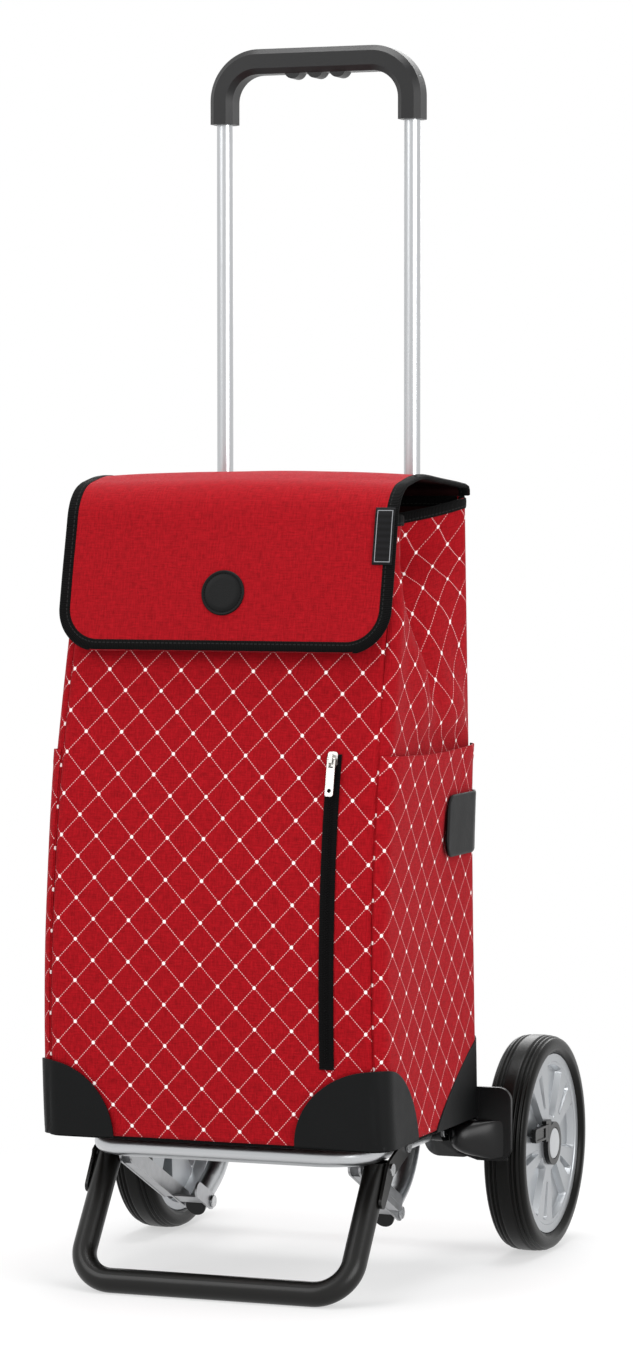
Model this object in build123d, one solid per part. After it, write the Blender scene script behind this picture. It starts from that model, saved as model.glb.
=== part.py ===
from build123d import *
import math
import os

# Two-wheeled folding shopping trolley with a soft bag. Millimetres, +Z up, front towards -Y.
# Pieces are drawn with Y = 0 in the plane of the two upright tubes and Z = 0 on the ground,
# and are moved along Y at the end so that the origin is the middle of the footprint.

# Clearances
run_gap = 0.08         # radial clearance of a turning or sliding fit
seat_gap = 0.3         # between soft pieces, and between moving pieces that pass each other
glue_gap = 0.1         # under a sewn or glued layer

# Wheels and axle
wheel_radius = 100.0
tyre_width = 39.0
tyre_height = 17.0
tread_groove = 3.0
groove_width = 1.6
groove_places = (-11.0, -7.5, 7.5, 11.0)  # from the middle of the tread
wheel_gap = 23.0       # middle plane of a tyre, out from the bag's side
rim_width = 30.0
rim_wall = 8.0
spoke_pairs = 5
spoke_depth = 17.0
hub_radius = 20.0
window_angle = 37.0
window_depth = 12.0
window_turn = 173.0    # first window, round from the wheel's own X
slot_angle = 9.0
slot_depth = 8.0
wall_draft = 8.0       # degrees, on the moulded walls of windows and slots
axle_radius = 6.0
axle_y = 83.0
bearing_radius = 14.0
bearing_width = 8.0
hub_cap_radius = 14.5
hub_cap_height = 5.0
hub_ring_height = 4.5
lever_length = 38.0
lever_width = 13.0
lever_thickness = 4.5
lever_pin = 1.5
ear_wall = 3.0
cap_edge = 2.2
lever_offset = 14.0    # lever's middle line above the axle

# Upright tubes and telescopic handle
tube_spacing = 184.0   # between the two tube axes
tube_radius = 9.5
tube_wall = 1.5
tube_top = 690.0
bend_radius = 72.0
bend_angle = 63.0
bend_start = 130.0
toe_length = 38.0
rod_radius = 7.5
rod_wall = 1.2
rod_bottom = 590.0
grip_height = 68.0
grip_top = 1111.0
grip_leg_width = 22.0
grip_bar_height = 23.0
grip_depth = 27.0
grip_corner = 47.0
grip_bevel = 5.0
grip_socket = 40.0
glide_length = 18.0    # shoe of a sliding tube
glide_plug = 14.0      # the part of it inside the sliding tube
glide_wall = 2.0
finger_pitch = 22.0
finger_rise = 5.0
finger_radius = 8.0
collar_wall = 5.5
collar_height = 42.0
collar_lip = 9.0
button_radius = 6.0
button_height = 8.0
button_travel = 2.5
button_web = 1.0       # left between a button and its tube
button_proud = 1.5
button_edge = 1.2
housing_wall = 3.0
bridge_half = 6.0
bridge_recess = 4.0    # margin round the bridge's lightening pockets, and their depth

# Folding platform, stand and links
platform_z = 126.0
platform_reach = 35.0  # side tubes, out from the uprights
platform_radius = 9.0
platform_front = -234.0
platform_bend = 40.0
fold_y = -50.0         # hinge line of the platform
knuckle_length = 18.0
knuckle_width = 12.0
stand_radius = 11.0
stand_front = -264.0
stand_bend = 32.0
pivot_y = -148.0       # rivet through the platform tube
stand_rivet_y = -190.0
stand_rivet_z = 111.0
bracket_plate = 2.7
bracket_heel = 26.0    # lower end of the bracket, below the leg rivet
heel_radius = 6.0
rivet_radius = 3.0
rivet_head = 5.5
head_height = 2.0
link_plate = 2.0
link_width = 15.0
toe_rivet_inset = 8.0  # link rivet, back from the end of the tube

# Axle carriers with mudguards
carrier_wall = 4.0
sleeve_height = 46.0
sleeve_wall = 2.5
boss_radius = 16.0
guard_thickness = 3.0
guard_gap = 7.0        # in front of the tyre
guard_bottom = 98.0
guard_top = 165.0
guard_lip = 1.5
guard_rim = 2.5
guard_corner = 12.0
dome_height = 34.0     # moulded cheek from the fork nose to the mudguard
dome_corner = 15.0
nose_wall = 8.0
slot_reach = 30.0      # slot of the fork nose, ahead of and above the fold pin
slot_drop = 18.0
heart_radius = 13.0
crown_radius = 14.0
rib_places = (0.3, 0.62)  # stiffening ribs, as shares of the way to the axle

# Bag
fabric = 3.0
bag_back_low = -12.5
bag_back_high = -23.0
bag_front_low = -262.0
bag_belly = -269.0
belly_z = 312.0
shoulder_y = -247.0
shoulder_z = 480.0
bag_front_high = -192.0
bag_top_front = 682.0
bag_top_back = 700.0
bag_half_low = 162.0
bag_taper = 6.0        # each side draws in by this much up to the mouth
bag_corner = 18.0
seam_inset = 9.0       # front and back seams, in from the outer side
bottom_fabric = 3.0
piping_height = 6.0
piping_proud = 1.5
base_board_thickness = 4.0
pocket_top = 477.0
pocket_back = -84.0
pocket_depth = 7.0
pocket_fabric = 2.0
pocket_hem = 7.0
strap_low = 380.0
strap_high = 435.0
strap_front = -80.0
strap_thickness = 1.7
patch_leather = 1.3
patch_width = 78.0
patch_depth = 92.0
patch_height = 68.0
rear_patch_width = 52.0
rear_patch_depth = 118.0
rear_patch_height = 84.0

# Zip
zip_inset = 52.0       # from the bag's side
zip_length = 262.0
zip_drop = 7.0         # slider, below the bag's shoulder
zip_allowance = 4.0    # tape past each end
zip_tape_width = 14.0
zip_tape_thickness = 1.2
slider_width = 9.0
slider_length = 13.0
slider_height = 4.0
pull_length = 33.0
pull_width = 7.5
pull_thickness = 1.6
pull_fork = 8.0        # open fork between the slider's eye and the blade
pull_hole = 1.8
prong_half = 0.8
eye_radius = 1.5
eye_rise = 2.2         # middle of the eye above the slider's body
eye_wall = 1.2
bail_half = 1.4

# Lid
lid_inset = 1.0
lid_fabric = 3.5
lid_crown = 717.0
lid_front_top = 706.0
lid_front_y = -209.0
lid_low_y = -246.0
lid_low = 562.0
lid_bend = 24.0
lid_corner = 38.0
badge_radius = 20.0
badge_z = 615.0
badge_thickness = 2.0
label_width = 18.0
label_height = 52.0
label_thickness = 1.0
label_overlap = 8.0
label_z = 620.0

# Worked-out places
axle_z = wheel_radius
wheel_x = bag_half_low + wheel_gap
tube_x = tube_spacing / 2
tube_bore = tube_radius - tube_wall
grip_bottom = grip_top - grip_height
platform_half = tube_x + platform_reach
bag_half_high = bag_half_low - bag_taper
lid_half = bag_half_high - lid_inset
zip_x = bag_half_low - zip_inset
zip_high = shoulder_z - zip_drop
zip_low = zip_high - zip_length
rim_radius = wheel_radius - tyre_height
bag_bottom = platform_z + platform_radius + seat_gap
wall_bottom = bag_bottom + bottom_fabric + piping_height
front_reach = min(stand_front - stand_radius, bag_belly - patch_leather)
tube_y = -(front_reach + axle_y + wheel_radius) / 2
toe_turn = math.radians(bend_angle)
toe_dir = Vector(0, -math.sin(toe_turn), -math.cos(toe_turn))
toe_start = Vector(0, -bend_radius * (1 - math.cos(toe_turn)), bend_start - bend_radius * math.sin(toe_turn))
toe_end = toe_start + toe_dir * toe_length
toe_rivet = toe_end - toe_dir * toe_rivet_inset
leg_lean = (stand_rivet_y - stand_front) / (stand_rivet_z - stand_radius)
stand_top = platform_z - platform_radius - seat_gap
plate_x = platform_half + stand_radius + seat_gap
leg_inner = platform_half - stand_radius
link_outer = leg_inner - 1.0
link_inner = tube_x + tube_radius + 1.5

os.makedirs("parts", exist_ok=True)


def save(name, part):
    """Write one node in the part's own frame."""
    export_step(Pos(0, tube_y, 0) * part, f"parts/{name}.step")


def save_pair(name, part):
    """Write a right-hand piece and its mirror image as two nodes."""
    save(f"right_{name}", part)
    save(f"left_{name}", mirror(part, about=Plane.YZ))


def both(part):
    """A right-hand piece and its mirror image in one node."""
    return Compound(children=[*part.solids(), *mirror(part, about=Plane.YZ).solids()])


def block(x0, x1, y0, y1, z0, z1):
    """A box between its limits."""
    return Pos((x0 + x1) / 2, (y0 + y1) / 2, (z0 + z1) / 2) * Box(x1 - x0, y1 - y0, z1 - z0)


def rod_x(radius, x0, x1, y, z):
    """A round bar along X."""
    return Pos((x0 + x1) / 2, y, z) * Rot(0, 90, 0) * Cylinder(radius, x1 - x0)


def rod_y(radius, x, y0, y1, z):
    """A round bar along Y."""
    return Pos(x, (y0 + y1) / 2, z) * Rot(90, 0, 0) * Cylinder(radius, y1 - y0)


def rod_z(radius, x, y, z0, z1):
    """A round bar along Z."""
    return Pos(x, y, (z0 + z1) / 2) * Cylinder(radius, z1 - z0)


def side_plate(outline, x0, x1):
    """A flat outline of the YZ plane, made solid between two X places."""
    return Pos(x0, 0, 0) * extrude(Plane.YZ * outline, x1 - x0)


def round_ended(p, q, p_radius, q_radius):
    """The YZ outline around two circles, joined by their outer tangents."""
    ends = Pos(*p) * Circle(p_radius) + Pos(*q) * Circle(q_radius)
    return make_hull(ends.edges())


def pipe(path, radius, wall):
    """A hollow tube along a path."""
    section = Plane(path @ 0, z_dir=path % 0)
    return sweep(section * Circle(radius), path) - sweep(section * Circle(radius - wall), path)


# Upright tubes with their forward-bent toes

def main_tube():
    half_turn = toe_turn / 2
    drop = bend_radius * math.sin(half_turn)
    half_way = (tube_x, -bend_radius * (1 - math.cos(half_turn)), bend_start - drop)
    run = Line((tube_x, 0, tube_top), (tube_x, 0, bend_start))
    bow = ThreePointArc(run @ 1, half_way, (tube_x, toe_start.Y, toe_start.Z))
    toe = Line(bow @ 1, (tube_x, toe_end.Y, toe_end.Z))
    tube = pipe(Wire([run, bow, toe]), tube_radius, tube_wall)
    reach = 2 * tube_radius
    return tube - rod_x(rivet_radius, tube_x - reach, tube_x + reach, toe_rivet.Y, toe_rivet.Z)


def toe_plug():
    head = 3.0
    spigot = toe_rivet_inset - rivet_radius - 1
    seat = Plane((tube_x, toe_end.Y, toe_end.Z), z_dir=toe_dir)
    cap = Pos(0, 0, head / 2) * Cylinder(tube_radius, head)
    cap = fillet(cap.edges().sort_by(Axis.Z)[-1:], head / 2)
    cap += Pos(0, 0, -spigot / 2) * Cylinder(tube_bore - run_gap, spigot)
    return seat * cap


def toe_rivet_pin():
    shank_low = link_fork - link_plate - seat_gap
    shank_high = link_inner + link_plate + seat_gap
    pin = rod_x(rivet_radius - run_gap, shank_low, shank_high, toe_rivet.Y, toe_rivet.Z)
    pin += rod_x(rivet_head, shank_low - link_plate, shank_low, toe_rivet.Y, toe_rivet.Z)
    return pin + rod_x(rivet_head, shank_high, shank_high + link_plate, toe_rivet.Y, toe_rivet.Z)


# Moulded bridge: a guide collar on each upright, a bar between them and two button housings

button_z = tube_top - collar_height / 2 + collar_lip / 2
button_floor = tube_radius + button_web
button_back = button_floor + button_travel + seat_gap
housing_end = button_back + button_height - button_proud


def tube_bridge():
    low = tube_top - collar_height + collar_lip
    bar_low = button_z - collar_height / 4
    bar_high = button_z + collar_height / 4
    collar = rod_z(tube_radius + collar_wall, tube_x, 0, low, tube_top + collar_lip)
    collar += rod_y(button_radius + housing_wall, tube_x, 0, housing_end, button_z)
    bar = block(0, tube_x, -bridge_half, bridge_half, bar_low, bar_high)
    pocket_end = tube_x - tube_radius - collar_wall - bridge_recess
    for side in (-1, 1):
        face = side * bridge_half
        bar -= block(0, pocket_end, face - bridge_recess, face + bridge_recess,
                     bar_low + bridge_recess, bar_high - bridge_recess)
    collar += bar
    collar -= rod_z(tube_radius + run_gap, tube_x, 0, 0, tube_top + run_gap)
    collar -= rod_z(rod_radius + run_gap, tube_x, 0, 0, grip_top)
    collar -= rod_y(button_radius + 2 * run_gap, tube_x, button_floor, 2 * housing_end, button_z)
    return collar + mirror(collar, about=Plane.YZ)


def release_button():
    button = rod_y(button_radius, tube_x, button_back, button_back + button_height, button_z)
    return fillet(button.edges().sort_by(Axis.Y)[-1:], button_edge)


# Telescopic handle

def handle_rod():
    top = grip_bottom + grip_socket - seat_gap
    rod = rod_z(rod_radius, tube_x, 0, rod_bottom, top)
    return rod - rod_z(rod_radius - rod_wall, tube_x, 0, rod_bottom, top)


def rod_glide():
    plug_radius = rod_radius - rod_wall - run_gap
    shoe = rod_z(tube_bore - run_gap, tube_x, 0, rod_bottom - glide_length, rod_bottom)
    shoe += rod_z(plug_radius, tube_x, 0, rod_bottom, rod_bottom + glide_plug)
    return shoe - rod_z(plug_radius - glide_wall, tube_x, 0, 0, grip_top)


def grip():
    half = tube_x + grip_leg_width / 2
    inner = half - grip_leg_width
    under = grip_top - grip_bar_height
    middle = (grip_bottom + grip_top) / 2
    outer = Pos(0, middle) * Rectangle(2 * half, grip_top - grip_bottom)
    outer = fillet(outer.vertices().sort_by(Axis.Y)[-2:], grip_corner)
    gap = Pos(0, (grip_bottom + under) / 2) * Rectangle(2 * inner, under - grip_bottom)
    gap = fillet(gap.vertices().sort_by(Axis.Y)[-2:], grip_corner - grip_leg_width)
    arch = extrude(Plane.XZ * (outer - gap), grip_depth / 2, both=True)
    faces = [f for f in arch.faces() if abs(f.normal_at().Y) > 0.9]
    rims = [e for f in faces for e in f.edges() if e.center().Z > grip_bottom + 1]
    arch = chamfer(rims, grip_bevel)
    ridge_half = grip_depth / 2 - grip_bevel
    ridge_z = under + finger_radius - finger_rise
    for step in (-1, 0, 1):
        arch += rod_y(finger_radius, step * finger_pitch, -ridge_half, ridge_half, ridge_z)
    return arch - both(rod_z(rod_radius + run_gap, tube_x, 0, grip_bottom - 1, grip_bottom + grip_socket))


# Folding platform

def platform_tube():
    end = fold_y - knuckle_length
    corners = [(-platform_half, end), (-platform_half, platform_front),
               (platform_half, platform_front), (platform_half, end)]
    path = Pos(0, 0, platform_z) * FilletPolyline(*corners, radius=platform_bend)
    tube = pipe(path.wire(), platform_radius, tube_wall)
    return tube - rod_x(rivet_radius + run_gap, -2 * platform_half, 2 * platform_half, pivot_y, platform_z)


def platform_knuckle():
    neck_end = fold_y - platform_radius - 1
    tongue_end = neck_end - 2
    eye = platform_radius - seat_gap
    left = platform_half - knuckle_width / 2
    right = platform_half + knuckle_width / 2
    root = fold_y - knuckle_length
    spigot = platform_radius - tube_wall - run_gap
    knuckle = rod_y(platform_radius, platform_half, root, neck_end, platform_z)
    knuckle += rod_y(spigot, platform_half, root - knuckle_length, root, platform_z)
    tongue = block(left, right, tongue_end, fold_y, platform_z - eye, platform_z + eye)
    knuckle += tongue & rod_y(eye, platform_half, tongue_end, fold_y, platform_z)
    knuckle += rod_x(eye, left, right, fold_y, platform_z)
    return knuckle - rod_x(rivet_radius + run_gap, 0, 2 * platform_half, fold_y, platform_z)


def hinge_pin():
    pin = rod_x(rivet_radius, nose_inner, nose_outer, fold_y, platform_z)
    pin += rod_x(rivet_head, nose_inner - head_height, nose_inner, fold_y, platform_z)
    return pin + rod_x(rivet_head, nose_outer, nose_outer + head_height, fold_y, platform_z)


def platform_rivet():
    tail = platform_half - platform_radius - 2
    head = plate_x + bracket_plate + seat_gap
    pin = rod_x(rivet_radius - run_gap, tail, head, pivot_y, platform_z)
    pin += rod_x(rivet_head, tail - head_height, tail, pivot_y, platform_z)
    spacer = rod_x(rivet_head, platform_half + platform_radius, plate_x - seat_gap, pivot_y, platform_z)
    return pin + spacer + rod_x(rivet_head, head, head + head_height, pivot_y, platform_z)


# Stand

def leg_y(z):
    return stand_front + leg_lean * (z - stand_radius)


def stand_tube():
    over = stand_top + 2 * stand_radius
    corners = [(-platform_half, leg_y(over), over), (-platform_half, stand_front, stand_radius),
               (platform_half, stand_front, stand_radius), (platform_half, leg_y(over), over)]
    tube = pipe(FilletPolyline(*corners, radius=stand_bend).wire(), stand_radius, tube_wall)
    reach = 2 * platform_half
    tube -= block(-reach, reach, 2 * stand_front, 0, stand_top, over + 2 * stand_radius)
    return tube - rod_x(rivet_radius, -reach, reach, stand_rivet_y, stand_rivet_z)


def stand_bracket():
    ear = platform_radius - 2 * seat_gap
    heel_z = stand_rivet_z - bracket_heel
    heel = (leg_y(heel_z), heel_z)
    outline = round_ended((pivot_y, platform_z), (stand_rivet_y, stand_rivet_z), ear, ear)
    outline += round_ended((stand_rivet_y, stand_rivet_z), heel, ear, heel_radius)
    plate = side_plate(outline, plate_x, plate_x + bracket_plate)
    plate -= rod_x(rivet_radius + run_gap, plate_x - 1, 2 * plate_x, pivot_y, platform_z)
    return plate - rod_x(rivet_radius, plate_x - 1, 2 * plate_x, stand_rivet_y, stand_rivet_z)


def stand_rivet():
    head = plate_x + bracket_plate
    pin = rod_x(rivet_radius - run_gap, leg_inner - seat_gap, head, stand_rivet_y, stand_rivet_z)
    return pin + rod_x(rivet_head, head, head + head_height, stand_rivet_y, stand_rivet_z)


# Pressed steel links between the stand and the toes of the uprights

link_fork = 2 * tube_x - link_inner
link_fold = 0.4        # fold lines, in from the plates' edges
strap_from = 17.0      # cross strap of the fork, along the link from the toe rivet
strap_to = 33.0
rib_half = 1.5
rib_rise = 0.6


def link():
    ends = ((toe_rivet.Y, toe_rivet.Z), (stand_rivet_y, stand_rivet_z))
    run = Vector(ends[1][0] - ends[0][0], ends[1][1] - ends[0][1])
    along = run.normalized()
    half = link_width / 2
    edge = half - link_fold
    start = (ends[0][0] + along.X * strap_to, ends[0][1] + along.Y * strap_to)
    place = Plane((0, *ends[0]), x_dir=(0, along.X, along.Y), z_dir=(1, 0, 0))
    body = side_plate(round_ended(*ends, half, half), link_inner, link_inner + link_plate)
    body += side_plate(round_ended(start, ends[1], half, half), link_outer - link_plate, link_outer)
    body += side_plate(round_ended(ends[0], start, half, half), link_fork - link_plate, link_fork)
    body += place * block(strap_to, run.length - 3, edge - link_plate, edge, link_inner + 1, link_outer - 1)
    body += place * block(strap_from, strap_to + 2, edge - link_plate, edge, link_fork - 1, link_inner + 1)
    rib = block(strap_to + 4, run.length - 9, -rib_half, rib_half, link_outer - 1, link_outer + rib_rise)
    body += place * rib
    return body - rod_x(rivet_radius, link_fork - 9, link_inner + 9, *ends[0])


# Axle carriers: a sleeve on the upright, a fork nose for the platform, the axle boss and the mudguard

nose_inner = platform_half - knuckle_width / 2 - nose_wall
nose_outer = platform_half + knuckle_width / 2 + nose_wall
carrier_inner = tube_x + tube_radius + sleeve_wall + 3
boss_end = wheel_x - rim_width / 2 - 10
guard_y = axle_y - wheel_radius - guard_gap
guard_inner = bag_half_low + patch_leather + 3 * seat_gap
guard_outer = wheel_x + tyre_width / 2 - 7


def carrier():
    nose = (fold_y, platform_z)
    heart = (2.0, platform_z - 4)
    crown = (6.0, platform_z + 20)
    axle = (axle_y, axle_z)
    arm = round_ended(heart, axle, heart_radius, boss_radius)
    arm += round_ended(crown, axle, crown_radius, boss_radius)
    body = side_plate(arm, carrier_inner, nose_outer)
    shell = body - side_plate(offset(arm, -carrier_wall), carrier_inner + carrier_wall, nose_outer + 1)
    for share in rib_places:
        rib_y = heart[0] + share * (axle[0] - heart[0])
        shell += body & block(carrier_inner, nose_outer, rib_y - rib_half, rib_y + rib_half, 0, 2 * axle_z)
    shell += side_plate(round_ended(nose, heart, platform_radius, platform_radius), nose_inner, nose_outer)
    shell += rod_x(boss_radius - 3, carrier_inner, boss_end, *axle)
    sleeve_low = wall_bottom + 4
    shell += rod_z(tube_radius + sleeve_wall, tube_x, 0, sleeve_low, sleeve_low + sleeve_height)
    shell += block(tube_x, carrier_inner + carrier_wall, -7, 7, sleeve_low, sleeve_low + 18)
    shell += mudguard()
    slot = knuckle_width / 2 + seat_gap
    slot_end = fold_y + platform_radius + seat_gap
    shell -= block(platform_half - slot, platform_half + slot, fold_y - slot_reach, slot_end,
                   platform_z - slot_drop, platform_z + slot_reach)
    shell -= rod_z(tube_radius + run_gap, tube_x, 0, 0, tube_top)
    shell -= rod_x(axle_radius + run_gap, 0, wheel_x, *axle)
    return shell - rod_x(rivet_radius + run_gap, nose_inner - 1, nose_outer + 1, *nose)


def mudguard():
    shelf = bag_bottom - 2
    points = [(nose_inner, shelf), (guard_inner, shelf), (guard_inner, guard_top),
              (guard_outer, guard_top), (guard_outer, guard_bottom),
              (wheel_x - tyre_width / 2, guard_bottom), (nose_inner, platform_z - 12)]
    outline = make_face(Polyline(*points, close=True))
    outline = fillet(outline.vertices().sort_by(Axis.X)[-2:], guard_corner)
    face = Plane((0, guard_y, 0), x_dir=(1, 0, 0), z_dir=(0, -1, 0))
    plate = extrude(face * outline, guard_thickness)
    lip = extrude(face * (outline - offset(outline, -guard_rim)), guard_thickness + guard_lip)
    tip_y = fold_y + platform_radius + 1
    tip = Plane((platform_half, tip_y, platform_z), x_dir=(1, 0, 0), z_dir=(0, -1, 0))
    root_x = (nose_inner + guard_inner) / 2
    root = Plane((root_x, guard_y, shelf - dome_height / 2), x_dir=(1, 0, 0), z_dir=(0, -1, 0))
    dome = loft([root * RectangleRounded(guard_inner - nose_inner, dome_height, dome_corner),
                 tip * RectangleRounded(2 * platform_radius, 2 * platform_radius - 1, platform_radius - 1)])
    return plate + lip + dome


# Wheels: drawn about a vertical axle with the outer face up, then turned on their side

def on_axle(part):
    return Pos(wheel_x, axle_y, axle_z) * Rot(0, 90, 0) * part


def disc(radius, z0, z1):
    return Pos(0, 0, (z0 + z1) / 2) * Cylinder(radius, z1 - z0)


def tyre():
    half = tyre_width / 2
    seat = rim_radius + run_gap
    bead = rim_width / 2 - 1
    shoulder = (wheel_radius - 2.5, half - 6)
    wall = (rim_radius + tyre_height * 0.55, half)
    side = ThreePointArc((seat, bead), (rim_radius + tyre_height * 0.2, half - 1), wall)
    flank = ThreePointArc(wall, (wheel_radius - 4, half - 2), shoulder)
    tread = ThreePointArc(shoulder, (wheel_radius, 0), (shoulder[0], -shoulder[1]))
    low_flank = ThreePointArc((shoulder[0], -shoulder[1]), (wheel_radius - 4, 2 - half), (wall[0], -half))
    low_side = ThreePointArc((wall[0], -half), (rim_radius + tyre_height * 0.2, 1 - half), (seat, -bead))
    outline = make_face([side, flank, tread, low_flank, low_side, Line((seat, -bead), (seat, bead))])
    ring = revolve(Plane.XZ * outline, Axis.Z)
    for place in groove_places:
        low = place - groove_width / 2
        high = place + groove_width / 2
        ring -= disc(wheel_radius + 1, low, high) - disc(wheel_radius - tread_groove, low, high)
    return on_axle(ring)


def sector(inner, outer, middle, angle, corner):
    reach = 2 * outer
    lean = math.radians(angle / 2)
    wedge = make_face(Polyline((0, 0), (reach * math.cos(lean), reach * math.sin(lean)),
                               (reach * math.cos(lean), -reach * math.sin(lean)), close=True))
    shape = (Circle(outer) - Circle(inner)) & wedge
    return Rot(0, 0, middle) * fillet(shape.vertices(), corner)


hub_face = rim_width / 2 - 1


def recess(inner, middle, angle, corner, depth):
    """A moulded pocket in the wheel's outer face, narrowing to its floor."""
    outline = sector(inner, rim_radius - rim_wall - 1, middle, angle, corner)
    return Pos(0, 0, hub_face) * extrude(outline, -depth, taper=wall_draft)


def rim():
    half = rim_width / 2
    well = rim_radius - rim_wall
    wheel = disc(rim_radius, -half, half) - disc(well, -half, half)
    wheel += disc(well + 1, hub_face - spoke_depth, hub_face)
    turn = 360 / spoke_pairs
    for pair in range(spoke_pairs):
        middle = window_turn + pair * turn
        wheel -= recess(hub_radius + 5, middle, window_angle, 4, window_depth)
        wheel -= recess(hub_radius + 12, middle + turn / 2, slot_angle, 1.5, slot_depth)
    wheel += disc(hub_radius, -half - 2, hub_face)
    wheel -= disc(axle_radius + 3, -2 * half, 2 * half)
    for low in bearing_places():
        wheel -= disc(bearing_radius + 2 * run_gap, low - run_gap, low + bearing_width + run_gap)
    return on_axle(wheel)


def bearing_places():
    return (-rim_width / 2 - 2, hub_face - bearing_width)


def bearings():
    rings = []
    for low in bearing_places():
        high = low + bearing_width
        ring = disc(bearing_radius, low, high) - disc(axle_radius + run_gap, low, high)
        rings.extend(on_axle(ring).solids())
    return Compound(children=rings)


lever_root = -(hub_radius + 2.5)
lever_low = -lever_offset - lever_width / 2
lever_high = -lever_offset + lever_width / 2
lever_pivot = hub_face + hub_ring_height / 2


def hub_ring():
    top = hub_face + hub_ring_height
    ring = disc(hub_radius, hub_face, top)
    ring += block(lever_low - ear_wall, lever_high + ear_wall,
                  lever_root - 2.5, -hub_radius / 2, hub_face, top)
    ring -= block(lever_low - seat_gap, lever_high + seat_gap,
                  2 * lever_root, lever_root + 4, hub_face, 2 * hub_face)
    ring -= disc(hub_cap_radius + seat_gap, hub_face, 2 * hub_face)
    hole = rod_x(lever_pin + run_gap, -3 * hub_radius, 3 * hub_radius, lever_root, lever_pivot)
    return on_axle(ring - hole)


def hub_cap():
    cap = disc(hub_cap_radius, hub_face + run_gap, hub_face + hub_cap_height)
    return on_axle(fillet(cap.edges().sort_by(Axis.Z)[-1:], cap_edge))


def release_lever():
    low = hub_face + 1.2
    high = low + lever_thickness
    tip = lever_root - lever_length
    paddle = block(lever_low, lever_high, tip, lever_root, low, high)
    paddle = fillet(paddle.edges().filter_by(Axis.Z).sort_by(Axis.Y)[:2], 4)
    paddle += rod_x(lever_pin + 0.5, lever_low, lever_high, lever_root, lever_pivot)
    paddle -= block(lever_low + 2, lever_high - 2, tip + 3, lever_root - 8, high - 1, high + 1)
    return on_axle(paddle + rod_x(lever_pin, lever_low - 2.5, lever_high + 2.5, lever_root, lever_pivot))


def axle():
    end = wheel_x + hub_face - 1
    return rod_x(axle_radius, -end, end, axle_y, axle_z)


def axle_spacer():
    end = wheel_x - rim_width / 2 - 2 - seat_gap
    sleeve = rod_x(axle_radius + 3, boss_end + run_gap, end, axle_y, axle_z)
    return sleeve - rod_x(axle_radius + run_gap, 0, wheel_x, axle_y, axle_z)


# Bag: one tapered body, drawn at any distance inside or outside the fabric's outer face,
# past its slanting mouth, where the panels are cut

overrun = 40.0

front_bow = ThreePointArc((bag_front_low, wall_bottom), (bag_belly, belly_z), (shoulder_y, shoulder_z))
bow_centre = front_bow.arc_center
bow_radius = front_bow.radius


def bag_body(grow):
    low = (bag_front_low - grow, wall_bottom)
    shoulder = (shoulder_y - grow, shoulder_z)
    front_lean = (bag_front_high - shoulder_y) / (bag_top_front - shoulder_z)
    back_lean = (bag_back_high - bag_back_low) / (bag_top_back - wall_bottom)
    top = (bag_front_high - grow + front_lean * overrun, bag_top_front + overrun)
    back_top = (bag_back_high + grow + back_lean * overrun, bag_top_back + overrun)
    bow = ThreePointArc(low, (bag_belly - grow, belly_z), shoulder)
    brow = TangentArc(shoulder, top, tangent=bow % 1)
    rest = Polyline(top, back_top, (bag_back_low + grow, wall_bottom), low)
    profile = extrude(Plane.YZ * make_face([bow, brow, *rest.edges()]), 2 * bag_half_low, both=True)
    body = profile & wedge(bag_half_low + grow, bag_half_high + grow)
    uprights = [e for e in body.edges() if e.bounding_box().size.Z > belly_z / 3]
    return fillet(uprights, bag_corner + grow)


def wedge(half_low, half_high):
    lean = (half_high - half_low) / (bag_top_back - wall_bottom)
    over = 2 * overrun
    low = half_low - over * lean
    high = half_high + over * lean
    outline = Polyline((-low, wall_bottom - over), (low, wall_bottom - over), (high, bag_top_back + over),
                       (-high, bag_top_back + over), close=True)
    return extrude(Plane.XZ * make_face(outline), 3 * bag_half_low, both=True)


def under_mouth():
    slope = (bag_top_back - bag_top_front) / (bag_back_high - bag_front_high)
    near = bag_back_high + bag_half_low
    far = bag_front_high - bag_half_low
    low = bag_top_front - slope * bag_half_low
    high = bag_top_back + slope * bag_half_low
    outline = Polyline((far, low), (near, high), (near, 0), (far, 0), close=True)
    return extrude(Plane.YZ * make_face(outline), 2 * bag_half_low, both=True)


def layer(under, over):
    return bag_body(over) - bag_body(under)


def front_y(z):
    return bow_centre.X - math.sqrt(bow_radius ** 2 - (z - bow_centre.Y) ** 2)


def bag_panels():
    shell = layer(-fabric, 0) & under_mouth()
    middle = (bag_front_low + bag_back_low) / 2
    reach = 3 * bag_half_low
    seam = wedge(bag_half_low - seam_inset, bag_half_high - seam_inset)
    between = shell & seam
    front = between & block(-reach, reach, -reach, middle, 0, 2 * bag_top_back)
    back = between & block(-reach, reach, middle, reach, 0, 2 * bag_top_back)
    right = (shell - seam) & block(0, reach, -reach, reach, 0, 2 * bag_top_back)
    return front, back, right


def base_sheet(inset, z0, z1):
    slope = (bag_half_high - bag_half_low) / (bag_top_back - wall_bottom)
    half = bag_half_low - inset + slope
    front = bag_front_low + inset
    back = bag_back_low - inset
    outline = RectangleRounded(2 * half, back - front, max(bag_corner - inset, 1))
    return Pos(0, (front + back) / 2, z0) * extrude(outline, z1 - z0)


def bottom_panel():
    return base_sheet(0, bag_bottom, bag_bottom + bottom_fabric)


def bottom_piping():
    low = bag_bottom + bottom_fabric
    return base_sheet(-piping_proud, low, wall_bottom) - base_sheet(fabric, low, wall_bottom)


def base_board():
    low = bag_bottom + bottom_fabric
    return base_sheet(fabric + seat_gap, low, low + base_board_thickness)


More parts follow.
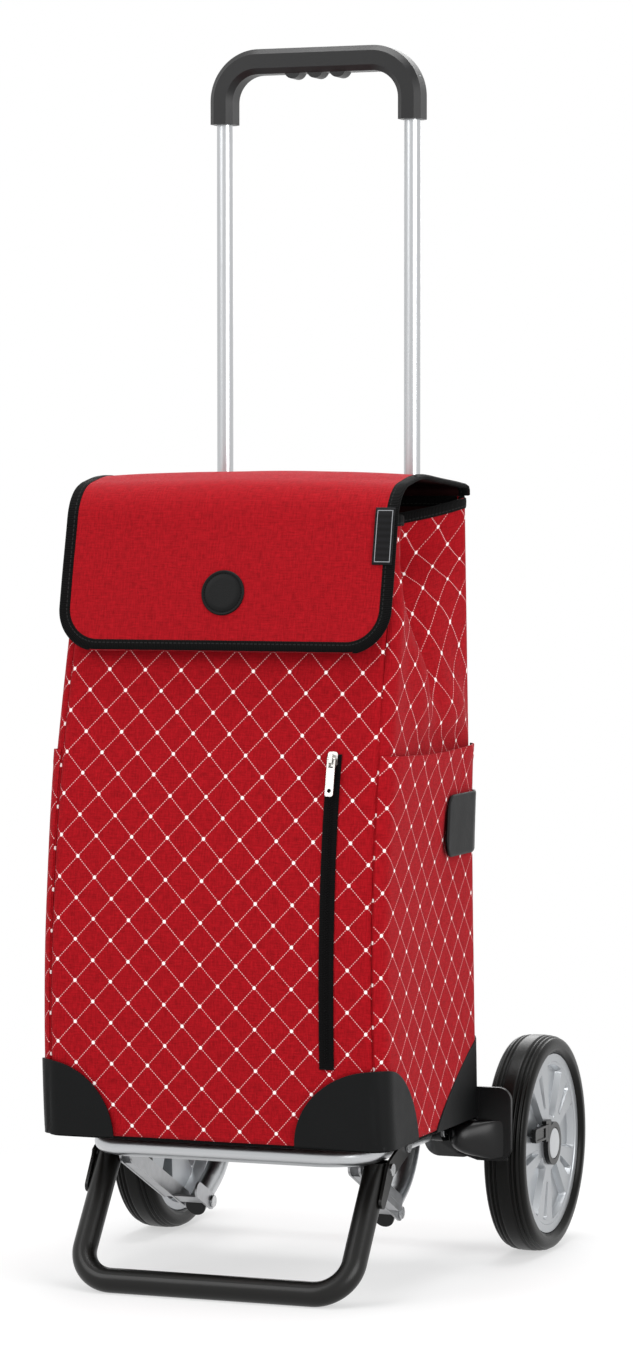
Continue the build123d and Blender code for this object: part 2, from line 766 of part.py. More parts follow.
def side_pocket():
    low = wall_bottom + patch_height + 2
    front = bag_front_low + bag_corner + 6
    reach = 2 * bag_half_low
    skin = bag_body(pocket_depth + pocket_fabric) & block(0, reach, front, pocket_back, low, pocket_top)
    room = block(0, reach, front + pocket_hem, pocket_back - pocket_hem, low + pocket_hem, pocket_top + 1)
    room &= bag_body(pocket_depth)
    return skin - bag_body(glue_gap) - room


def frame_strap():
    tongue = layer(glue_gap, glue_gap + strap_thickness)
    tongue &= block(tube_x, 2 * bag_half_low, strap_front, 0, strap_low, strap_high)
    height = strap_high - strap_low
    outer = Circle(tube_radius + glue_gap + strap_thickness)
    inner = Circle(tube_radius + glue_gap)
    reach = -bag_back_high
    for_back = Pos(0, -reach / 2) * Rectangle(2 * (tube_radius + glue_gap + strap_thickness), reach)
    for_tube = Pos(0, -reach / 2) * Rectangle(2 * (tube_radius + glue_gap), reach)
    loop = Pos(tube_x, 0, strap_low) * extrude(outer + for_back - inner - for_tube, height)
    return tongue + (loop - bag_body(glue_gap))


def corner_patches():
    skin = layer(seat_gap, seat_gap + patch_leather)
    front_cutter = scale(Sphere(1), by=(patch_width, patch_depth, patch_height))
    rear_cutter = scale(Sphere(1), by=(rear_patch_width, rear_patch_depth, rear_patch_height))
    fronts = skin & (Pos(bag_half_low, bag_front_low, wall_bottom) * front_cutter)
    rears = skin & (Pos(bag_half_low, bag_back_low, wall_bottom) * rear_cutter)
    return both(Compound(children=[*fronts.solids(), *rears.solids()]))


# Zip

def zip_tape():
    tape = layer(glue_gap, glue_gap + zip_tape_thickness)
    half = zip_tape_width / 2
    low = zip_low - zip_allowance
    high = zip_high + zip_allowance
    return tape & block(zip_x - half, zip_x + half, 2 * bag_belly, shoulder_y + 30, low, high)


def zip_plane():
    y = front_y(zip_high)
    out = Vector(0, y - bow_centre.X, zip_high - bow_centre.Y).normalized()
    return Plane((zip_x, y, zip_high), x_dir=(1, 0, 0), z_dir=out)


slider_low = glue_gap + zip_tape_thickness + seat_gap
slider_high = slider_low + slider_height
eye_height = slider_high + eye_rise


def zip_slider():
    body = Pos(0, 0, slider_low) * extrude(RectangleRounded(slider_width, slider_length, 2.5), slider_height)
    bridge_top = eye_height + eye_radius + eye_wall
    bridge = block(-bail_half, bail_half, -4, 4, slider_high, bridge_top)
    bridge -= rod_x(eye_radius, -slider_width, slider_width, 0, eye_height)
    return zip_plane() * (body + bridge)


def zip_pull():
    arm = pull_width / 2
    low = eye_height - pull_thickness / 2
    high = eye_height + pull_thickness / 2
    blade = pull_length - pull_fork
    outline = Pos(0, -pull_fork - blade / 2, low) * RectangleRounded(pull_width, blade, 2)
    plate = extrude(outline, pull_thickness)
    plate -= Pos(0, 5 - pull_length, eye_height) * Cylinder(pull_hole, 3 * pull_thickness)
    for side in (-1, 1):
        middle = side * (arm - prong_half)
        plate += block(middle - prong_half, middle + prong_half, -pull_fork - 2, 1, low, high)
    return zip_plane() * (plate + rod_x(eye_radius - seat_gap, -arm, arm, 0, eye_height))


# Lid

lid_hinge_y = bag_back_high - fabric / 2
lid_hinge_z = bag_top_back + seat_gap


def lid_panel():
    points = [(lid_hinge_y, lid_hinge_z), (lid_hinge_y, lid_crown - 5), (lid_hinge_y - 70, lid_crown),
              (lid_front_y, lid_front_top), (lid_low_y, lid_low)]
    path = FilletPolyline(*points, radius=[6, 60, lid_bend])
    sheet = extrude(Plane.YZ * trace(path, lid_fabric), lid_half, both=True)
    low_edges = [e for e in sheet.edges() if e.length < 2 * lid_fabric and e.center().Z < lid_low + 10]
    return fillet(low_edges, lid_corner)


def flap_plane(z):
    run = Vector(lid_low_y - lid_front_y, lid_low - lid_front_top)
    y = lid_low_y + run.X * (z - lid_low) / run.Y
    out = Vector(0, run.Y, -run.X).normalized()
    return Plane((0, y, z), x_dir=(1, 0, 0), z_dir=out)


def lid_badge():
    low = lid_fabric / 2 + glue_gap
    disc_shape = Pos(0, 0, low + badge_thickness / 2) * Cylinder(badge_radius, badge_thickness)
    return flap_plane(badge_z) * disc_shape


def label_tab():
    low = lid_fabric / 2 + glue_gap
    left = lid_half - label_overlap
    half = label_height / 2
    return flap_plane(label_z) * block(left, left + label_width, -half, half, low, low + label_thickness)


save_pair("main_tube", main_tube())
save_pair("handle_tube", handle_rod())
save_pair("release_button", release_button())
save_pair("axle_carrier", carrier())
save_pair("platform_knuckle", platform_knuckle())
save_pair("stand_bracket", stand_bracket())
save_pair("stand_link", link())
save_pair("tyre", tyre())
save_pair("wheel_rim", rim())
save_pair("wheel_bearings", bearings())
save_pair("hub_ring", hub_ring())
save_pair("hub_cap", hub_cap())
save_pair("release_lever", release_lever())
save_pair("side_pocket", side_pocket())
save_pair("frame_strap", frame_strap())
save("tube_bridge", tube_bridge())
save("tube_end_plugs", both(toe_plug()))
save("toe_rivets", both(toe_rivet_pin()))
save("tube_glides", both(rod_glide()))
save("grip", grip())
save("hinge_pins", both(hinge_pin()))
save("platform_tube", platform_tube())
save("platform_rivets", both(platform_rivet()))
save("stand_tube", stand_tube())
save("stand_rivets", both(stand_rivet()))
save("axle", axle())
save("axle_spacers", both(axle_spacer()))
front_panel, back_panel, right_panel = bag_panels()
save("front_panel", front_panel)
save("back_panel", back_panel)
save_pair("side_panel", right_panel)
save("bottom_panel", bottom_panel())
save("bottom_piping", bottom_piping())
save("base_board", base_board())
save("corner_patches", corner_patches())
save("zip_tape", zip_tape())
save("zip_slider", zip_slider())
save("zip_pull", zip_pull())
save("lid_panel", lid_panel())
save("lid_badge", lid_badge())
save("label_tab", label_tab())
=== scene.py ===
import bpy
import math
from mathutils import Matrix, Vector, noise


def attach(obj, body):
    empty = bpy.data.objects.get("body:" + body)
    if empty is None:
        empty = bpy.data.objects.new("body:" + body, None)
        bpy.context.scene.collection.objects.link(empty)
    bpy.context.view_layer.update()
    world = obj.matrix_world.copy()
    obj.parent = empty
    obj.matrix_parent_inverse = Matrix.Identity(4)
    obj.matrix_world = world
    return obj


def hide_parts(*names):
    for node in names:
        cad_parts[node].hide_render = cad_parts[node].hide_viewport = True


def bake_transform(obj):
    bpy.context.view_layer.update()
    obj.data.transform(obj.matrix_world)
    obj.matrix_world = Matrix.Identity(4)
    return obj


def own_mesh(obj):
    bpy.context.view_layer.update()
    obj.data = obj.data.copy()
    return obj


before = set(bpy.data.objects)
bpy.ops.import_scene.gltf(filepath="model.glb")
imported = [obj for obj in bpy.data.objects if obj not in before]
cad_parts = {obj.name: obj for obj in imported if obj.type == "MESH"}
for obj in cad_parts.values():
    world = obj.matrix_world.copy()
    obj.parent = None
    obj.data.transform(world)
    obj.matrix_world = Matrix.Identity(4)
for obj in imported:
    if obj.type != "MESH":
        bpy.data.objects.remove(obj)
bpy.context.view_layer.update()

scene = bpy.context.scene
print("frame loaded:", len(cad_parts), "nodes")

# Drawing is in millimetres with the upright tubes at y = 0, and tubeY moves it into the shared frame.
tubeY = 46.0


def place(x, y, z):
    return (x / 1000, (y + tubeY) / 1000, z / 1000)


def hexColour(code):
    parts = [int(code[i:i + 2], 16) / 255 for i in (1, 3, 5)]
    return tuple(c / 12.92 if c <= 0.04045 else ((c + 0.055) / 1.055) ** 2.4 for c in parts) + (1.0,)


def addNode(tree, kind, inputs=None, **settings):
    node = tree.nodes.new("ShaderNode" + kind)
    for key, value in settings.items():
        setattr(node, key, value)
    for key, value in (inputs or {}).items():
        if isinstance(value, bpy.types.NodeSocket):
            tree.links.new(value, node.inputs[key])
        else:
            node.inputs[key].default_value = value
    return node


def newMaterial(name, rough, metal=0.0, ior=None, shine=0.5, sheen=0.0):
    material = bpy.data.materials.new(name)
    material.use_nodes = True
    tree = material.node_tree
    shader = tree.nodes["Principled BSDF"]
    shader.inputs["Roughness"].default_value = rough
    shader.inputs["Metallic"].default_value = metal
    if ior:
        shader.inputs["IOR"].default_value = ior
    shader.inputs["Specular IOR Level"].default_value = shine
    shader.inputs["Sheen Weight"].default_value = sheen
    return material, tree, shader


# Links a material's finished outputs to its shader.
def linkShader(tree, shader, sockets):
    for key, socket in sockets.items():
        tree.links.new(socket, shader.inputs[key])


# Woven polyester canvas in red: a fine plain weave with a slightly mixed thread, matt with a faint bloom
# at grazing angles. The printed one carries a lattice of dotted white lines with a dot at each crossing.
canvasLook = {
    "dark": "#860610", "light": "#a80f1a", "bloom": "#ffb4bc", "rough": 0.9, "weaveDepth": 0.2,
    "thread": 1.3,                      # mm, drawn coarser than the real 0.5 mm so that it shows
    "slub": 9.0, "lineColour": "#e3aaab", "dotColour": "#fff6f4", "wide": 34.0, "high": 36.3,
    "lineWidth": 0.7, "lineBlur": 0.084, "dotRadius": 1.55, "dotBlur": 0.25,
    "stitch": 2.2, "stitchShare": 0.62,
}


def canvas(name, printed, bloom):
    look = canvasLook
    material, tree, shader = newMaterial(name, look["rough"], ior=1.46, shine=0.12, sheen=bloom)
    shader.inputs["Sheen Roughness"].default_value = 0.4
    shader.inputs["Sheen Tint"].default_value = hexColour(look["bloom"])
    flat = addNode(tree, "UVMap", uv_map="flat").outputs["UV"]
    axes = addNode(tree, "SeparateXYZ", {0: flat})
    fine = 1000 / look["thread"]
    long = 1000 / look["slub"]
    waves = []
    slubs = []
    for axis, scale in (("X", (fine, long, 1)), ("Y", (long, fine, 1))):
        turn = addNode(tree, "Math", {0: axes.outputs[axis], 1: 2 * math.pi * fine}, operation="MULTIPLY")
        waves.append(addNode(tree, "Math", {0: turn.outputs[0]}, operation="SINE").outputs[0])
        thread = addNode(tree, "Mapping", {"Vector": flat, "Scale": scale}).outputs[0]
        spun = addNode(tree, "TexNoise", {"Vector": thread, "Scale": 1.0, "Detail": 2.0})
        slubs.append(spun.outputs["Fac"])
    weave = addNode(tree, "Math", {0: waves[0], 1: waves[1]}, operation="MULTIPLY").outputs[0]
    slub = addNode(tree, "Math", {0: slubs[0], 1: slubs[1]}, operation="ADD").outputs[0]
    height = addNode(tree, "Math", {0: weave, 1: 0.5, 2: slub}, operation="MULTIPLY_ADD").outputs[0]
    tone = addNode(tree, "MapRange", {"Value": slub, "From Min": 0.7, "From Max": 1.3}).outputs[0]
    tones = {6: hexColour(look["dark"]), 7: hexColour(look["light"])}
    colour = addNode(tree, "Mix", {0: tone, **tones}, data_type="RGBA").outputs[2]
    if printed:
        across = addNode(tree, "Math", {0: axes.outputs["X"], 1: 1000 / look["wide"]}, operation="MULTIPLY")
        up = addNode(tree, "Math", {0: axes.outputs["Y"], 1: 1000 / look["high"]}, operation="MULTIPLY")
        apart = 1 / math.hypot(1 / look["wide"], 1 / look["high"])  # mm between neighbouring lines
        lines = []
        dashes = []
        for rule in ("ADD", "SUBTRACT"):
            run = addNode(tree, "Math", {0: across.outputs[0], 1: up.outputs[0]}, operation=rule).outputs[0]
            off = addNode(tree, "Math", {0: run, 1: 0.5}, operation="PINGPONG").outputs[0]
            lines.append(addNode(tree, "Math", {0: off, 1: apart}, operation="MULTIPLY").outputs[0])
            beat = addNode(tree, "Math", {0: run, 1: apart / look["stitch"]}, operation="MULTIPLY").outputs[0]
            beat = addNode(tree, "Math", {0: beat, 1: 0.5}, operation="PINGPONG").outputs[0]
            dash = addNode(tree, "Math", {0: beat, 1: look["stitchShare"] / 2}, operation="LESS_THAN")
            dashes.append(dash.outputs[0])
        half = look["lineWidth"] / 2
        blur = look["lineBlur"]
        marks = []
        for line, dash in ((lines[0], dashes[1]), (lines[1], dashes[0])):
            edge = {"From Min": half + blur, "From Max": half - blur}
            near = addNode(tree, "MapRange", {"Value": line, **edge}).outputs[0]
            marks.append(addNode(tree, "Math", {0: near, 1: dash}, operation="MULTIPLY").outputs[0])
        ruled = addNode(tree, "Math", {0: marks[0], 1: marks[1]}, operation="MAXIMUM").outputs[0]
        squares = [addNode(tree, "Math", {0: line, 1: 2.0}, operation="POWER").outputs[0] for line in lines]
        reach = addNode(tree, "Math", {0: squares[0], 1: squares[1]}, operation="ADD").outputs[0]
        reach = addNode(tree, "Math", {0: reach}, operation="SQRT").outputs[0]
        half = look["dotRadius"]
        blur = look["dotBlur"]
        edge = {"From Min": half + blur, "From Max": half - blur}
        spot = addNode(tree, "MapRange", {"Value": reach, **edge}).outputs[0]
        for share, paint in ((ruled, look["lineColour"]), (spot, look["dotColour"])):
            inked = {0: share, 6: colour, 7: hexColour(paint)}
            colour = addNode(tree, "Mix", inked, data_type="RGBA").outputs[2]
    bump = addNode(tree, "Bump", {"Height": height, "Strength": 1.0, "Distance": look["weaveDepth"] / 1000})
    linkShader(tree, shader, {"Base Color": colour, "Normal": bump.outputs["Normal"]})
    return material


# Coated back of the canvas: a thin dull film with a cloudy tone, seen inside the bag.
backLook = {"dark": "#1d0506", "light": "#2c0a0c", "rough": 0.7, "cloud": 16.7, "depth": 0.4}


def coatedBack():
    look = backLook
    material, tree, shader = newMaterial("coated canvas back", look["rough"], ior=1.46, shine=0.15)
    where = addNode(tree, "TexCoord").outputs["Object"]
    patchy = {"Vector": where, "Scale": 1000 / look["cloud"], "Detail": 5.0}
    cloud = addNode(tree, "TexNoise", patchy).outputs["Fac"]
    tones = {6: hexColour(look["dark"]), 7: hexColour(look["light"])}
    colour = addNode(tree, "Mix", {0: cloud, **tones}, data_type="RGBA").outputs[2]
    bump = addNode(tree, "Bump", {"Height": cloud, "Strength": 1.0, "Distance": look["depth"] / 1000})
    linkShader(tree, shader, {"Base Color": colour, "Normal": bump.outputs["Normal"]})
    return material


# Folded polyester grosgrain tape in black: crosswise ribs and a row of thread near its inner edge. Its colour
# carries painted shade: darker in each rib's trough and lighter on its crest, mixed with a random fuzz of
# tone.
tapeLook = {
    "dark": "#030303", "light": "#0b0b0b", "thread": "#242424", "rough": 0.78, "ribDepth": 0.35, "fuzz": 1.43,
    "rib": 1.6,                         # mm, drawn coarser than the real 0.8 mm so that it shows
    "stitch": 4.0, "stitchShare": 0.66, "stitchAt": 6.6, "stitchWidth": 0.9,
}


def bindingTape(name, stitched=True):
    look = tapeLook
    material, tree, shader = newMaterial(name, look["rough"], ior=1.46, shine=0.08, sheen=0.02)
    flat = addNode(tree, "UVMap", uv_map="flat").outputs["UV"]
    axes = addNode(tree, "SeparateXYZ", {0: flat})
    pitch = 2000 * math.pi / look["rib"]
    turn = addNode(tree, "Math", {0: axes.outputs["X"], 1: pitch}, operation="MULTIPLY")
    rib = addNode(tree, "Math", {0: turn.outputs[0]}, operation="SINE").outputs[0]
    # The rib's height drives the bump and is also painted shade in the colour: darker in the troughs, lighter
    # on the crests.
    tone = addNode(tree, "MapRange", {"Value": rib, "From Min": -1.0, "From Max": 1.0}).outputs[0]
    fuzzy = {"Vector": flat, "Scale": 1000 / look["fuzz"], "Detail": 3.0}
    fuzz = addNode(tree, "TexNoise", fuzzy).outputs["Fac"]
    ribShadeAndFuzz = addNode(tree, "Math", {0: tone, 1: fuzz}, operation="MULTIPLY").outputs[0]
    tones = {6: hexColour(look["dark"]), 7: hexColour(look["light"])}
    colour = addNode(tree, "Mix", {0: ribShadeAndFuzz, **tones}, data_type="RGBA").outputs[2]
    if stitched:
        beat = addNode(tree, "Math", {0: axes.outputs["X"], 1: 1000 / look["stitch"]}, operation="MULTIPLY")
        beat = addNode(tree, "Math", {0: beat.outputs[0], 1: 0.5}, operation="PINGPONG")
        dash = addNode(tree, "Math", {0: beat.outputs[0], 1: look["stitchShare"] / 2}, operation="LESS_THAN")
        off = addNode(tree, "Math", {0: axes.outputs["Y"], 1: look["stitchAt"] / 1000}, operation="SUBTRACT")
        off = addNode(tree, "Math", {0: off.outputs[0]}, operation="ABSOLUTE")
        half = look["stitchWidth"] / 2000
        near = addNode(tree, "Math", {0: off.outputs[0], 1: half}, operation="LESS_THAN")
        thread = addNode(tree, "Math", {0: dash.outputs[0], 1: near.outputs[0]}, operation="MULTIPLY")
        sewn = {0: thread.outputs[0], 6: colour, 7: hexColour(look["thread"])}
        colour = addNode(tree, "Mix", sewn, data_type="RGBA").outputs[2]
    bump = addNode(tree, "Bump", {"Height": tone, "Strength": 1.0, "Distance": look["ribDepth"] / 1000})
    linkShader(tree, shader, {"Base Color": colour, "Normal": bump.outputs["Normal"]})
    return material


# Embossed PU leatherette in black: a soft pebbled grain with a low even shine.
grainLook = {
    "dark": "#050606", "light": "#0b0c0d", "rough": 0.48, "smoother": 0.08, "duller": 0.1, "cloud": 28.6,
    "pebble": 1.2,                      # mm, drawn coarser than the real 0.7 mm so that it shows
    "depth": 0.1,
}


def leatherette(name):
    look = grainLook
    rough = look["rough"]
    material, tree, shader = newMaterial(name, rough, ior=1.5, shine=0.14)
    where = addNode(tree, "TexCoord").outputs["Object"]
    grain = {"Vector": where, "Scale": 1000 / look["pebble"], "Smoothness": 0.6}
    pebble = addNode(tree, "TexVoronoi", grain, feature="SMOOTH_F1").outputs["Distance"]
    patchy = {"Vector": where, "Scale": 1000 / look["cloud"], "Detail": 4.0}
    cloud = addNode(tree, "TexNoise", patchy).outputs["Fac"]
    tones = {6: hexColour(look["dark"]), 7: hexColour(look["light"])}
    colour = addNode(tree, "Mix", {0: cloud, **tones}, data_type="RGBA").outputs[2]
    handled = {"Value": cloud, "To Min": rough - look["smoother"], "To Max": rough + look["duller"]}
    worn = addNode(tree, "MapRange", handled).outputs[0]
    bump = addNode(tree, "Bump", {"Height": pebble, "Strength": 1.0, "Distance": look["depth"] / 1000})
    linkShader(tree, shader, {"Base Color": colour, "Roughness": worn, "Normal": bump.outputs["Normal"]})
    return material


# Satin anodised aluminium tube: drawn along its length, so fine lines run up it and soften the shine.
tubeLook = {
    "dark": "#b6b8ba", "light": "#c4c6c8", "rough": 0.3, "smoothest": 0.26, "dullest": 0.34, "depth": 0.008,
    "line": 0.9,                        # mm, drawn coarser than the real 0.1 mm so that it shows
    "lineLong": 60.0,
}


def anodised(name, lengthwise):
    look = tubeLook
    material, tree, shader = newMaterial(name, look["rough"], metal=1.0)
    where = addNode(tree, "TexCoord").outputs["Object"]
    scale = [1000 / look["line"]] * 3
    scale[lengthwise] = 1000 / look["lineLong"]
    drawn = addNode(tree, "Mapping", {"Vector": where, "Scale": scale}).outputs[0]
    lines = addNode(tree, "TexNoise", {"Vector": drawn, "Scale": 1.0, "Detail": 3.0}).outputs["Fac"]
    tones = {6: hexColour(look["dark"]), 7: hexColour(look["light"])}
    colour = addNode(tree, "Mix", {0: lines, **tones}, data_type="RGBA").outputs[2]
    satin = {"Value": lines, "To Min": look["smoothest"], "To Max": look["dullest"]}
    rough = addNode(tree, "MapRange", satin).outputs[0]
    bump = addNode(tree, "Bump", {"Height": lines, "Strength": 1.0, "Distance": look["depth"] / 1000})
    linkShader(tree, shader, {"Base Color": colour, "Roughness": rough, "Normal": bump.outputs["Normal"]})
    return material


# Injection-moulded ABS or polypropylene: a fine spark-eroded grain that spreads the shine.
# The grain is drawn at grit mm, coarser than the real 0.2 mm, so that it shows.
mouldLook = {"cloud": 45.5, "smoother": 0.06, "duller": 0.08}


def moulded(name, dark, light, rough, grit=0.9, depth=0.05, shine=0.5, metal=0.0):
    look = mouldLook
    material, tree, shader = newMaterial(name, rough, metal, ior=1.49, shine=shine)
    where = addNode(tree, "TexCoord").outputs["Object"]
    grain = addNode(tree, "TexNoise", {"Vector": where, "Scale": 1000 / grit, "Detail": 2.0}).outputs["Fac"]
    patchy = {"Vector": where, "Scale": 1000 / look["cloud"], "Detail": 4.0}
    cloud = addNode(tree, "TexNoise", patchy).outputs["Fac"]
    tones = {6: hexColour(dark), 7: hexColour(light)}
    colour = addNode(tree, "Mix", {0: cloud, **tones}, data_type="RGBA").outputs[2]
    handled = {"Value": cloud, "To Min": rough - look["smoother"], "To Max": rough + look["duller"]}
    worn = addNode(tree, "MapRange", handled).outputs[0]
    bump = addNode(tree, "Bump", {"Height": grain, "Strength": 1.0, "Distance": depth / 1000})
    linkShader(tree, shader, {"Base Color": colour, "Roughness": worn, "Normal": bump.outputs["Normal"]})
    return material


# Powder-coated steel in black: an even semi-gloss skin with a slight orange peel.
coatLook = {"dark": "#080807", "light": "#12110f", "rough": 0.32, "peel": 2.2, "cloud": 55.6, "depth": 0.05}


def powderCoat():
    look = coatLook
    material, tree, shader = newMaterial("black powder-coated steel", look["rough"], ior=1.5, shine=0.3)
    where = addNode(tree, "TexCoord").outputs["Object"]
    dimpled = {"Vector": where, "Scale": 1000 / look["peel"], "Detail": 1.0}
    peel = addNode(tree, "TexNoise", dimpled).outputs["Fac"]
    patchy = {"Vector": where, "Scale": 1000 / look["cloud"], "Detail": 3.0}
    cloud = addNode(tree, "TexNoise", patchy).outputs["Fac"]
    tones = {6: hexColour(look["dark"]), 7: hexColour(look["light"])}
    colour = addNode(tree, "Mix", {0: cloud, **tones}, data_type="RGBA").outputs[2]
    bump = addNode(tree, "Bump", {"Height": peel, "Strength": 1.0, "Distance": look["depth"] / 1000})
    linkShader(tree, shader, {"Base Color": colour, "Normal": bump.outputs["Normal"]})
    return material


# Zinc or nickel plate on pressed steel: bright, a little uneven in tone, with faint marks of the press.
plateLook = {"cloud": 11.1, "smoother": 0.07, "duller": 0.12, "depth": 0.03}


def plated(name, dark, light, rough):
    look = plateLook
    material, tree, shader = newMaterial(name, rough, metal=1.0)
    where = addNode(tree, "TexCoord").outputs["Object"]
    patchy = {"Vector": where, "Scale": 1000 / look["cloud"], "Detail": 5.0}
    cloud = addNode(tree, "TexNoise", patchy).outputs["Fac"]
    tones = {6: hexColour(dark), 7: hexColour(light)}
    colour = addNode(tree, "Mix", {0: cloud, **tones}, data_type="RGBA").outputs[2]
    uneven = {"Value": cloud, "To Min": rough - look["smoother"], "To Max": rough + look["duller"]}
    blur = addNode(tree, "MapRange", uneven).outputs[0]
    bump = addNode(tree, "Bump", {"Height": cloud, "Strength": 1.0, "Distance": look["depth"] / 1000})
    linkShader(tree, shader, {"Base Color": colour, "Roughness": blur, "Normal": bump.outputs["Normal"]})
    return material


# Moulded rubber tyre: near black with a low satin shine, slightly uneven in tone, with a fine mould grit.
rubberLook = {
    "dark": "#050504", "light": "#0a0a08", "rough": 0.3, "cloud": 71.4, "depth": 0.12,
    "grit": 1.4,                        # mm, drawn coarser than the real 0.4 mm so that it shows
}


def tyreRubber():
    look = rubberLook
    material, tree, shader = newMaterial("moulded tyre rubber", look["rough"], ior=1.52, shine=0.13)
    where = addNode(tree, "TexCoord").outputs["Object"]
    gritty = {"Vector": where, "Scale": 1000 / look["grit"], "Detail": 3.0}
    grit = addNode(tree, "TexNoise", gritty).outputs["Fac"]
    patchy = {"Vector": where, "Scale": 1000 / look["cloud"], "Detail": 5.0}
    cloud = addNode(tree, "TexNoise", patchy).outputs["Fac"]
    tones = {6: hexColour(look["dark"]), 7: hexColour(look["light"])}
    colour = addNode(tree, "Mix", {0: cloud, **tones}, data_type="RGBA").outputs[2]
    bump = addNode(tree, "Bump", {"Height": grit, "Strength": 1.0, "Distance": look["depth"] / 1000})
    linkShader(tree, shader, {"Base Color": colour, "Normal": bump.outputs["Normal"]})
    return material


printedCanvas = canvas("printed red canvas", True, 0.08)
plainCanvas = canvas("plain red canvas", False, 0.22)
backCanvas = coatedBack()
edgeTape = bindingTape("black grosgrain binding")
zipCloth = bindingTape("black zip tape", False)
softLeather = leatherette("black leatherette")
uprightAluminium = anodised("anodised upright tube", 2)
platformAluminium = anodised("anodised platform tube", 0)
gripPlastic = moulded("moulded black grip", "#0a0a0b", "#131314", 0.38, 0.8, 0.05, 0.34)
carrierPlastic = moulded("moulded black polypropylene", "#040404", "#0a0a0b", 0.28, shine=0.3)
# The rims and caps have silver flake in the plastic, which gives a soft metallic grey.
rimPlastic = moulded("metallic grey rim plastic", "#9fa2a5", "#adb0b3", 0.32, 0.7, 0.03, metal=0.75)
capPlastic = moulded("silver cap plastic", "#a9abad", "#c2c4c6", 0.34, 0.6, 0.02, metal=0.3)
baseBoard = moulded("grey base board", "#3a3a3b", "#4a4a4b", 0.7, 1.5, 0.2)
coatedSteel = powderCoat()
linkSteel = plated("zinc-plated pressed steel", "#8f9092", "#c3c4c6", 0.32)
rivetSteel = plated("bright rivet steel", "#a6a7a9", "#d4d5d6", 0.24)
zipNickel = plated("nickel-plated zip metal", "#b4b3ae", "#e2e1dd", 0.2)
tyreSkin = tyreRubber()
print("materials made:", len(bpy.data.materials))

# CAD pieces whose shape is right keep it and take a finish.
finishes = {
    uprightAluminium: ["left_main_tube", "right_main_tube", "left_handle_tube", "right_handle_tube"],
    platformAluminium: ["platform_tube"],
    gripPlastic: ["grip"],
    carrierPlastic: [
        "tube_bridge", "tube_glides", "tube_end_plugs", "axle_spacers",
        "left_axle_carrier", "right_axle_carrier", "left_hub_ring", "right_hub_ring",
        "left_release_button", "right_release_button",
        "left_release_lever", "right_release_lever", "left_platform_knuckle", "right_platform_knuckle",
    ],
    coatedSteel: ["stand_tube", "left_stand_bracket", "right_stand_bracket"],
    linkSteel: ["left_stand_link", "right_stand_link", "axle"],
    rivetSteel: [
        "hinge_pins", "platform_rivets", "stand_rivets", "toe_rivets",
        "left_wheel_bearings", "right_wheel_bearings",
    ],
    capPlastic: ["left_hub_cap", "right_hub_cap"],
}
for material, names in finishes.items():
    for name in names:
        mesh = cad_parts[name].data
        mesh.materials.clear()
        mesh.materials.append(material)
print("CAD pieces finished")


def eased(u):
    return 0.5 - 0.5 * math.cos(math.pi * u)


def clamped(x):
    return min(1.0, max(0.0, x))


def smoothed(x):
    x = clamped(x)
    return x * x * (3 - 2 * x)


def hill(x, middle, width):
    return math.exp(-((x - middle) / width) ** 2)


# Smooth noise: the third value picks a different ripple for each piece.
def soft(x, y, z):
    return noise.noise(Vector((x, y, z)))


def meshPiece(name, points, faces, flats):
    mesh = bpy.data.meshes.new(name)
    mesh.from_pydata(points, [], faces)
    layer = mesh.uv_layers.new(name="flat")
    for loop in mesh.loops:
        layer.data[loop.index].uv = flats[loop.vertex_index]
    mesh.polygons.foreach_set("use_smooth", [True] * len(mesh.polygons))
    mesh.update()
    piece = bpy.data.objects.new(name, mesh)
    scene.collection.objects.link(piece)
    return piece


# A sheet of columns by rows: where gives a point and its flat place for u and v from 0 to 1.
# With measured, the flat place across is the real distance along each row, from its first or last end.
def gridPiece(name, columns, rows, where, measured=0):
    points = []
    flats = []
    for j in range(rows + 1):
        row = [where(i / columns, j / rows) for i in range(columns + 1)]
        runs = [0.0]
        for (before, _), (after, _) in zip(row, row[1:]):
            runs.append(runs[-1] + math.hypot(after[0] - before[0], after[1] - before[1]))
        for (spot, flat), run in zip(row, runs):
            points.append(place(*spot))
            across = flat[0]
            if measured:
                across = run if measured > 0 else run - runs[-1]
            flats.append((across / 1000, flat[1] / 1000))
    wide = columns + 1
    faces = []
    for j in range(rows):
        for i in range(columns):
            first = j * wide + i
            faces.append((first, first + 1, first + wide + 1, first + wide))
    return meshPiece(name, points, faces, flats)


# A band swept along a line: each station gives its place, and two directions that the section is drawn in.
def sweptPiece(name, stations, section, closed):
    points = []
    flats = []
    count = len(section)
    run = 0.0
    for k, (spot, sideways, outward) in enumerate(stations):
        if k:
            run += (Vector(spot) - Vector(stations[k - 1][0])).length
        for d, h in section:
            points.append(place(*(Vector(spot) + sideways * d + outward * h)))
            flats.append((run / 1000, d / 1000))
    total = len(stations)
    faces = []
    for k in range(total if closed else total - 1):
        n = (k + 1) % total
        for i in range(count):
            m = (i + 1) % count
            faces.append((k * count + i, n * count + i, n * count + m, k * count + m))
    if not closed:
        faces.append(tuple(range(count)))
        faces.append(tuple((total - 1) * count + i for i in reversed(range(count))))
    return meshPiece(name, points, faces, flats)


